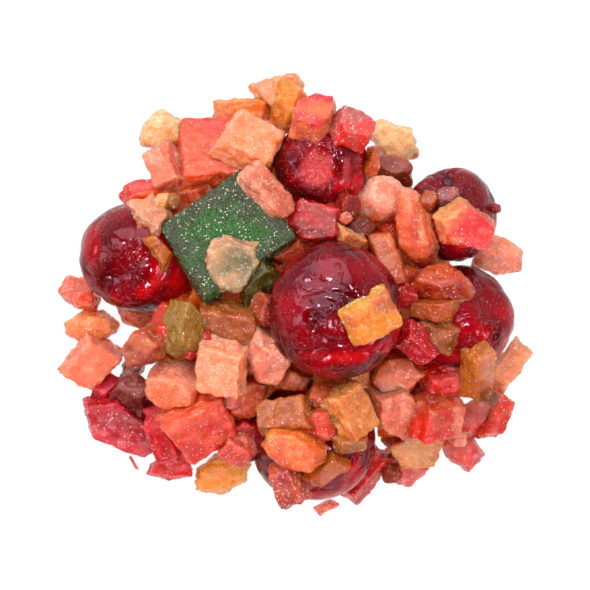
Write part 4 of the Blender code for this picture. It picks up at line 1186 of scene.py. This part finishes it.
def cherry_parts(name, x, y, z, radii, dents):
    """One finished cherry: points, triangles and a colour for each point."""
    ways, triangles = ball_of(CHERRY_STEPS)
    seed = draw_of(name).uniform(0.0, MOST_SEED)
    points, folds, net = cherry_shape(ways, seed, radii, dents)
    share = SKIN_SHARE + SKIN_CLOUDS * noise(points, SKIN_CLOUD_LENGTH, seed + 37.0)
    # Folds and ridges painted paler and creases darker: painted light and shade.
    share = np.clip(share + PAINTED_FOLD_SHADING * folds + PAINTED_NET_SHADING * net, 0.0, 1.0)[:, None]
    colour = linear(CHERRY_DEEP) * (1.0 - share) + linear(CHERRY_SKIN) * share
    # The painted glow on the side away from the big light.
    low_side = np.clip(ways @ toward(*GLOW_WAY), 0.0, 1.0) ** 2
    glow = low_side * (GLOW_LEAST + GLOW_CLOUDS * noise(points, GLOW_CLOUD_LENGTH, seed + 47.0))
    glow = np.clip(glow, 0.0, GLOW_MOST)[:, None]
    colour = colour * (1.0 - glow) + linear(CHERRY_GLOW) * glow
    colour = spotted(colour, points, SPOTS_AND_PAINTED_LIGHT.get(name, ()))
    return points + np.array([x, y, z]), triangles, colour


surfaces = []
for name, x, y, z, *radii, dents in CHERRIES:
    surface = cherry_parts(name, x, y, z, radii, dents)
    surfaces.append((name, "cherry", surface))
    cherry = mesh_object("fruit_" + name, [surface], MATERIALS["cherry"])
    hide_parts(name)
print("cherry triangles:", len(cherry.data.polygons))

# %% [markdown]
# Bits that have a solid of their own become an object of their own, which stands for that solid. The
# others are joined into one mesh for each finish, and together with the core they stand for the mound.

# %% Bits with a solid of their own
joined = {"papaya": [], "clear": [], "sugared": []}
for bit in bits:
    parts = fruit_bit(*bit)
    surfaces.append((bit[0], FINISH_OF[bit[1]], parts))
    if bit[0] in NODES:
        made = mesh_object("fruit_" + bit[0], [parts], MATERIALS[finish_of(*bit[:2])])
        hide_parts(bit[0])
    else:
        joined[FINISH_OF[bit[1]]].append(parts)
print("joined bits:", sum(len(group) for group in joined.values()))

# %% [markdown]
# The joined bits stay three meshes, because a mesh of one finish needs one material. Each of them
# stands for the mound's one solid, as the core below does.

# %% The small bits of the mound
for finish, group in joined.items():
    made = mesh_object("small_bits_" + finish, group, MATERIALS[finish])
    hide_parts("fruit_heap")
    print(made.name, len(made.data.polygons), "triangles")

# %% [markdown]
# The core shows only as dark, saturated flesh in the gaps. It is a dome from the same two functions,
# closed underneath, and roughened so much that what shows of it reads as more fruit.

# %% The core
CORE_SPOKES = 150
CORE_RINGS = 44
CORE_SHARE = 0.97
CORE_DEEP = "B82408"
CORE_PALE = "E06020"
CORE_CREASES = 0.7
CORE_CREASE_LENGTH = 4.5
CORE_CRUMBS = 0.25
CORE_CRUMB_LENGTH = 1.4
CORE_CLOUDS = 0.7
CORE_CLOUD_LENGTH = 5.0
CORE_SHRINK = 0.4
CORE_FOOT = 0.3


def core_triangles(crown):
    """The triangles between the rings, up to the crown and down to the foot's middle after it."""
    triangles = []
    last = CORE_RINGS * CORE_SPOKES
    for spoke in range(CORE_SPOKES):
        after = (spoke + 1) % CORE_SPOKES
        for here in range(0, last, CORE_SPOKES):
            above = here + CORE_SPOKES
            triangles.append((here + spoke, here + after, above + after))
            triangles.append((here + spoke, above + after, above + spoke))
        triangles.append((last + spoke, last + after, crown))
        triangles.append((crown + 1, after, spoke))
    return np.array(triangles)


def core_parts():
    """The core as points, triangles and a colour for each point."""
    angles = np.arange(CORE_SPOKES) * 2.0 * math.pi / CORE_SPOKES
    rings = []
    for ring in range(CORE_RINGS):
        share = CORE_SHARE * (1.0 - ring / CORE_RINGS)
        reach = share * core_reach(angles)
        rise = np.full(CORE_SPOKES, core_rise(share))
        rings.append(np.column_stack([reach * np.cos(angles), reach * np.sin(angles), rise]))
    foot = rings[0] * np.array([1.0, 1.0, 0.0])
    points = np.vstack([foot] + rings + [[[0.0, 0.0, CORE_HEIGHT]], [[0.0, 0.0, 0.0]]])
    triangles = core_triangles(len(points) - 2)
    rise = CORE_CREASES * creases(points, CORE_CREASE_LENGTH, 3.0)
    rise = rise + CORE_CRUMBS * noise(points, CORE_CRUMB_LENGTH, 8.0)
    lifted = points + normals_of(points, triangles) * (rise - CORE_SHRINK)[:, None]
    lifted[:, 2] = np.where(points[:, 2] > 0.0, np.maximum(lifted[:, 2], CORE_FOOT), 0.0)
    share = np.clip(0.5 + CORE_CLOUDS * noise(points, CORE_CLOUD_LENGTH, 13.0), 0.0, 1.0)[:, None]
    colour = linear(CORE_DEEP) * (1.0 - share) + linear(CORE_PALE) * share
    return lifted, triangles, colour


core = mesh_object("fruit_core", [core_parts()], MATERIALS["papaya"])
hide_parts("fruit_heap")
print("core triangles:", len(core.data.polygons))

# %% [markdown]
# The sugar that did not melt sits on the bits as loose grains. A crystal shows as one bright facet,
# so a chip with four sides is enough, from a twentieth to an eighth of a millimetre wide. The green
# square and the cherries carry the most. The chips are scattered over the upward faces of the
# finished surfaces by area, turned at random and sunk by half.

# %% Sugar grains
GRAINS_ON = {"green": 12000, "cherry": 1200, "sugared": 260, "papaya": 130, "clear": 120}
MOST_SUGARED = {"sugared_beige": 8.0, "peach_cube": 2.0, "olive_yellow": 2.0}
LEAST_GRAINS = 2
FULL_AREA = 60.0
GRAIN_SIZE = (0.04, 0.10)
GRAIN_UNEVEN = (0.7, 1.3)
FINE_ON_GREEN = 0.75
CHIP = np.array([(0.5, 0.5, 0.5), (-0.5, -0.5, 0.5), (-0.5, 0.5, -0.5), (0.5, -0.5, -0.5)])
CHIP_SIDES = np.array([(0, 2, 1), (0, 1, 3), (0, 3, 2), (1, 2, 3)])
CHIP_IOR = 1.54
CHIP_CLEAR = 0.75
CHIP_CLOUD = 0.5
CHIP_WHITE = "FAF9F7"
CHIP_CREAM = "F3E7DA"
CHIP_FROSTED = (0.3, 0.7)
CHIP_ROUGHNESS = (0.05, 0.35)


def sugar_material():
    """Sucrose crystals, some clear and some frosted, white to cream."""
    material, tree, shader = new_material("sugar_crystal")
    place = add_node(tree, "ShaderNodeTexCoord").outputs["Object"]
    cloud = add_node(tree, "ShaderNodeTexNoise", Vector=place, Scale=1.0 / (CHIP_CLOUD * MM), Detail=2.0)
    tint = add_node(tree, "ShaderNodeMix", {"data_type": "RGBA"}, _0=cloud.outputs["Fac"],
                    _6=rgba(CHIP_WHITE), _7=rgba(CHIP_CREAM))
    frosted = add_node(tree, "ShaderNodeMapRange", Value=cloud.outputs["Fac"], From_Min=CHIP_FROSTED[0],
                       From_Max=CHIP_FROSTED[1], To_Min=CHIP_ROUGHNESS[0], To_Max=CHIP_ROUGHNESS[1])
    fill_sockets(tree, shader, Base_Color=tint.outputs["Result"], Roughness=frosted.outputs["Result"],
                 IOR=CHIP_IOR, Transmission_Weight=CHIP_CLEAR)
    return material


def grains_on(surface, count, draw, fineness):
    """Chips on the upward faces of one surface."""
    points, triangles, colours = surface
    corners = points[triangles]
    faces = np.cross(corners[:, 1] - corners[:, 0], corners[:, 2] - corners[:, 0])
    weight = np.clip(faces[:, 2], 0.0, None)
    chosen = draw.choice(len(triangles), count, p=weight / weight.sum())
    mix = draw.dirichlet((1.0, 1.0, 1.0), count)
    middles = np.einsum("ij,ijk->ik", mix, corners[chosen])
    turns = np.linalg.qr(draw.normal(size=(count, 3, 3)))[0]
    turns = turns * np.linalg.det(turns)[:, None, None]
    sizes = fineness * draw.uniform(*GRAIN_SIZE, (count, 1, 1)) * draw.uniform(*GRAIN_UNEVEN, (count, 1, 3))
    made = (CHIP * sizes) @ turns + middles[:, None, :]
    sides = CHIP_SIDES + len(CHIP) * np.arange(count)[:, None, None]
    return made.reshape(-1, 3), sides.reshape(-1, 3), np.ones((len(CHIP) * count, 3))


draw = draw_of("sugar")
grains = []
for name, finish, surface in surfaces:
    if not name.startswith("filler"):
        area = np.ptp(surface[0][:, 0]) * np.ptp(surface[0][:, 1]) / FULL_AREA
        count = GRAINS_ON[finish] * min(area, 1.0) * MOST_SUGARED.get(name, 1.0)
        fineness = FINE_ON_GREEN if finish == "green" else 1.0
        grains.append(grains_on(surface, int(count) + LEAST_GRAINS, draw, fineness))
sugar = mesh_object("sugar_grains", grains, sugar_material())
sugar.data.polygons.foreach_set("use_smooth", [False] * len(sugar.data.polygons))
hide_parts("fruit_heap")
print("sugar chips:", len(sugar.data.polygons) // len(CHIP_SIDES))

# %% [markdown]
# The heap lies on a white table under big soft lights. The table glows a little, as a light table
# does, which is why the photo has hardly a shadow and why thin bits look lit from within. None of
# this is part of the object.

# %% The white table
TABLE_SIDE = 3.0
TABLE_CORNERS = ((-0.5, -0.5, 0.0), (0.5, -0.5, 0.0), (0.5, 0.5, 0.0), (-0.5, 0.5, 0.0))
PAPER_FIBRE = 0.6
PAPER_GREY = (0.12, 0.18)
PAPER_GLOW = 0.93
PAPER_ROUGHNESS = 0.9
WHITE = "FFFFFF"


def table_material():
    """Matt paper, grey by its own colour and white by its glow, with no reflection of its own."""
    material, tree, shader = new_material("white_table")
    place = add_node(tree, "ShaderNodeTexCoord").outputs["Object"]
    fibre = add_node(tree, "ShaderNodeTexNoise", Vector=place, Scale=1.0 / (PAPER_FIBRE * MM), Detail=3.0)
    paper = add_node(tree, "ShaderNodeMapRange", Value=fibre.outputs["Fac"], To_Min=PAPER_GREY[0],
                     To_Max=PAPER_GREY[1])
    fill_sockets(tree, shader, Base_Color=paper.outputs["Result"], Roughness=PAPER_ROUGHNESS,
                 Specular_IOR_Level=0.0, Emission_Color=rgba(WHITE), Emission_Strength=PAPER_GLOW)
    return material


table = bpy.data.meshes.new("table")
corners = [TABLE_SIDE * Vector(corner) for corner in TABLE_CORNERS]
table.from_pydata(corners, [], [(0, 1, 2, 3)])
table.materials.append(table_material())
floor = bpy.data.objects.new("table", table)
bpy.context.scene.collection.objects.link(floor)
print("table:", TABLE_SIDE, "m wide")

# %% [markdown]
# The fruit lies in a white tent that is dark overhead, where the camera looks in, so that what faces
# the camera keeps its full colour. A wide softbox stands beyond the top of the picture, about halfway
# up the sky, and two weaker ones stand to the left and below. Six small hard lamps make the glints.
# The cherries show where they are: the mauve sheen on their upper sides is the first one's
# reflection. The tent is brighter towards the top of the picture, so the fruit has a lit side.

# %% Light
GLINT_SIDE = 0.04
GLINTS = (
    ((-0.20, 0.32, 0.66), 0.8),
    ((0.28, 0.16, 0.66), 1.0),
    ((0.30, -0.32, 0.56), 1.5),
    ((-0.08, -0.42, 0.60), 1.3),
    ((-0.36, -0.06, 0.60), 0.9),
    ((0.06, 0.24, 0.70), 0.9),
)
LAMPS = [
    ("softbox_top", (-0.20, 0.48, 0.54), 0.54, 4.0, "FFFDFE"),
    ("softbox_left", (-0.54, -0.04, 0.50), 0.30, 1.6, WHITE),
    ("softbox_low", (0.42, -0.52, 0.42), 0.20, 1.8, WHITE),
]
for number, (place, watts) in enumerate(GLINTS):
    LAMPS.append((f"glint_lamp_{number}", place, GLINT_SIDE, watts, WHITE))
for name, place, side, watts, tint in LAMPS:
    lamp = bpy.data.lights.new(name, "AREA")
    lamp.shape = "SQUARE"
    lamp.size = side
    lamp.energy = watts
    lamp.color = linear(tint)
    hung = bpy.data.objects.new(name, lamp)
    hung.location = place
    hung.rotation_euler = (-Vector(place)).to_track_quat("-Z", "Y").to_euler()
    bpy.context.scene.collection.objects.link(hung)
print("lamps:", len(LAMPS))

# %% [markdown]
# The tent is the world behind everything. Its strength falls towards straight up and grows towards
# the top of the picture, and both follow from the direction alone, so it holds from every side.

# %% The tent
TENT_HEIGHTS = (0.55, 0.90)
TENT_STRENGTHS = (0.7, 0.02)
TENT_SIDES = (-0.6, 0.6)
SIDE_STRENGTHS = (0.15, 1.3)
world = bpy.data.worlds.new("white_tent")
world.use_nodes = True
sky = world.node_tree
way = add_node(sky, "ShaderNodeSeparateXYZ", Vector=add_node(sky, "ShaderNodeTexCoord").outputs["Generated"])
tent = add_node(sky, "ShaderNodeMapRange", Value=way.outputs["Z"], From_Min=TENT_HEIGHTS[0],
                From_Max=TENT_HEIGHTS[1], To_Min=TENT_STRENGTHS[0], To_Max=TENT_STRENGTHS[1])
side = add_node(sky, "ShaderNodeMapRange", Value=way.outputs["Y"], From_Min=TENT_SIDES[0],
                From_Max=TENT_SIDES[1], To_Min=SIDE_STRENGTHS[0], To_Max=SIDE_STRENGTHS[1])
shape = add_node(sky, "ShaderNodeMath", {"operation": "MULTIPLY"}, _0=tent.outputs["Result"],
                 _1=side.outputs["Result"])
fill_sockets(sky, sky.nodes["Background"], Color=rgba(WHITE), Strength=shape.outputs["Value"])
bpy.context.scene.world = world
bpy.context.scene.view_settings.view_transform = "Standard"
print("tent nodes:", len(sky.nodes))

# %% [markdown]
# The photo was taken from straight above with a long lens. The image is 590 pixels wide and shows
# 6 pixels to the millimetre, measured at the height of the heap's middle.

# %% Camera
IMAGE_PIXELS = 590
PIXELS_PER_MM = 6.0
MIDDLE_HEIGHT = 11.0
CAMERA_HEIGHT = 0.85
FILM_WIDTH = 36.0
NEAREST = 0.01
camera_data = bpy.data.cameras.new("camera")
camera_data.sensor_width = FILM_WIDTH
seen_width = IMAGE_PIXELS / PIXELS_PER_MM * MM
camera_data.lens = FILM_WIDTH * (CAMERA_HEIGHT - MIDDLE_HEIGHT * MM) / seen_width
camera_data.clip_start = NEAREST
camera = bpy.data.objects.new("camera", camera_data)
camera.location = (0.0, 0.0, CAMERA_HEIGHT)
bpy.context.scene.collection.objects.link(camera)
bpy.context.scene.camera = camera
print("lens:", round(camera_data.lens, 1), "mm")
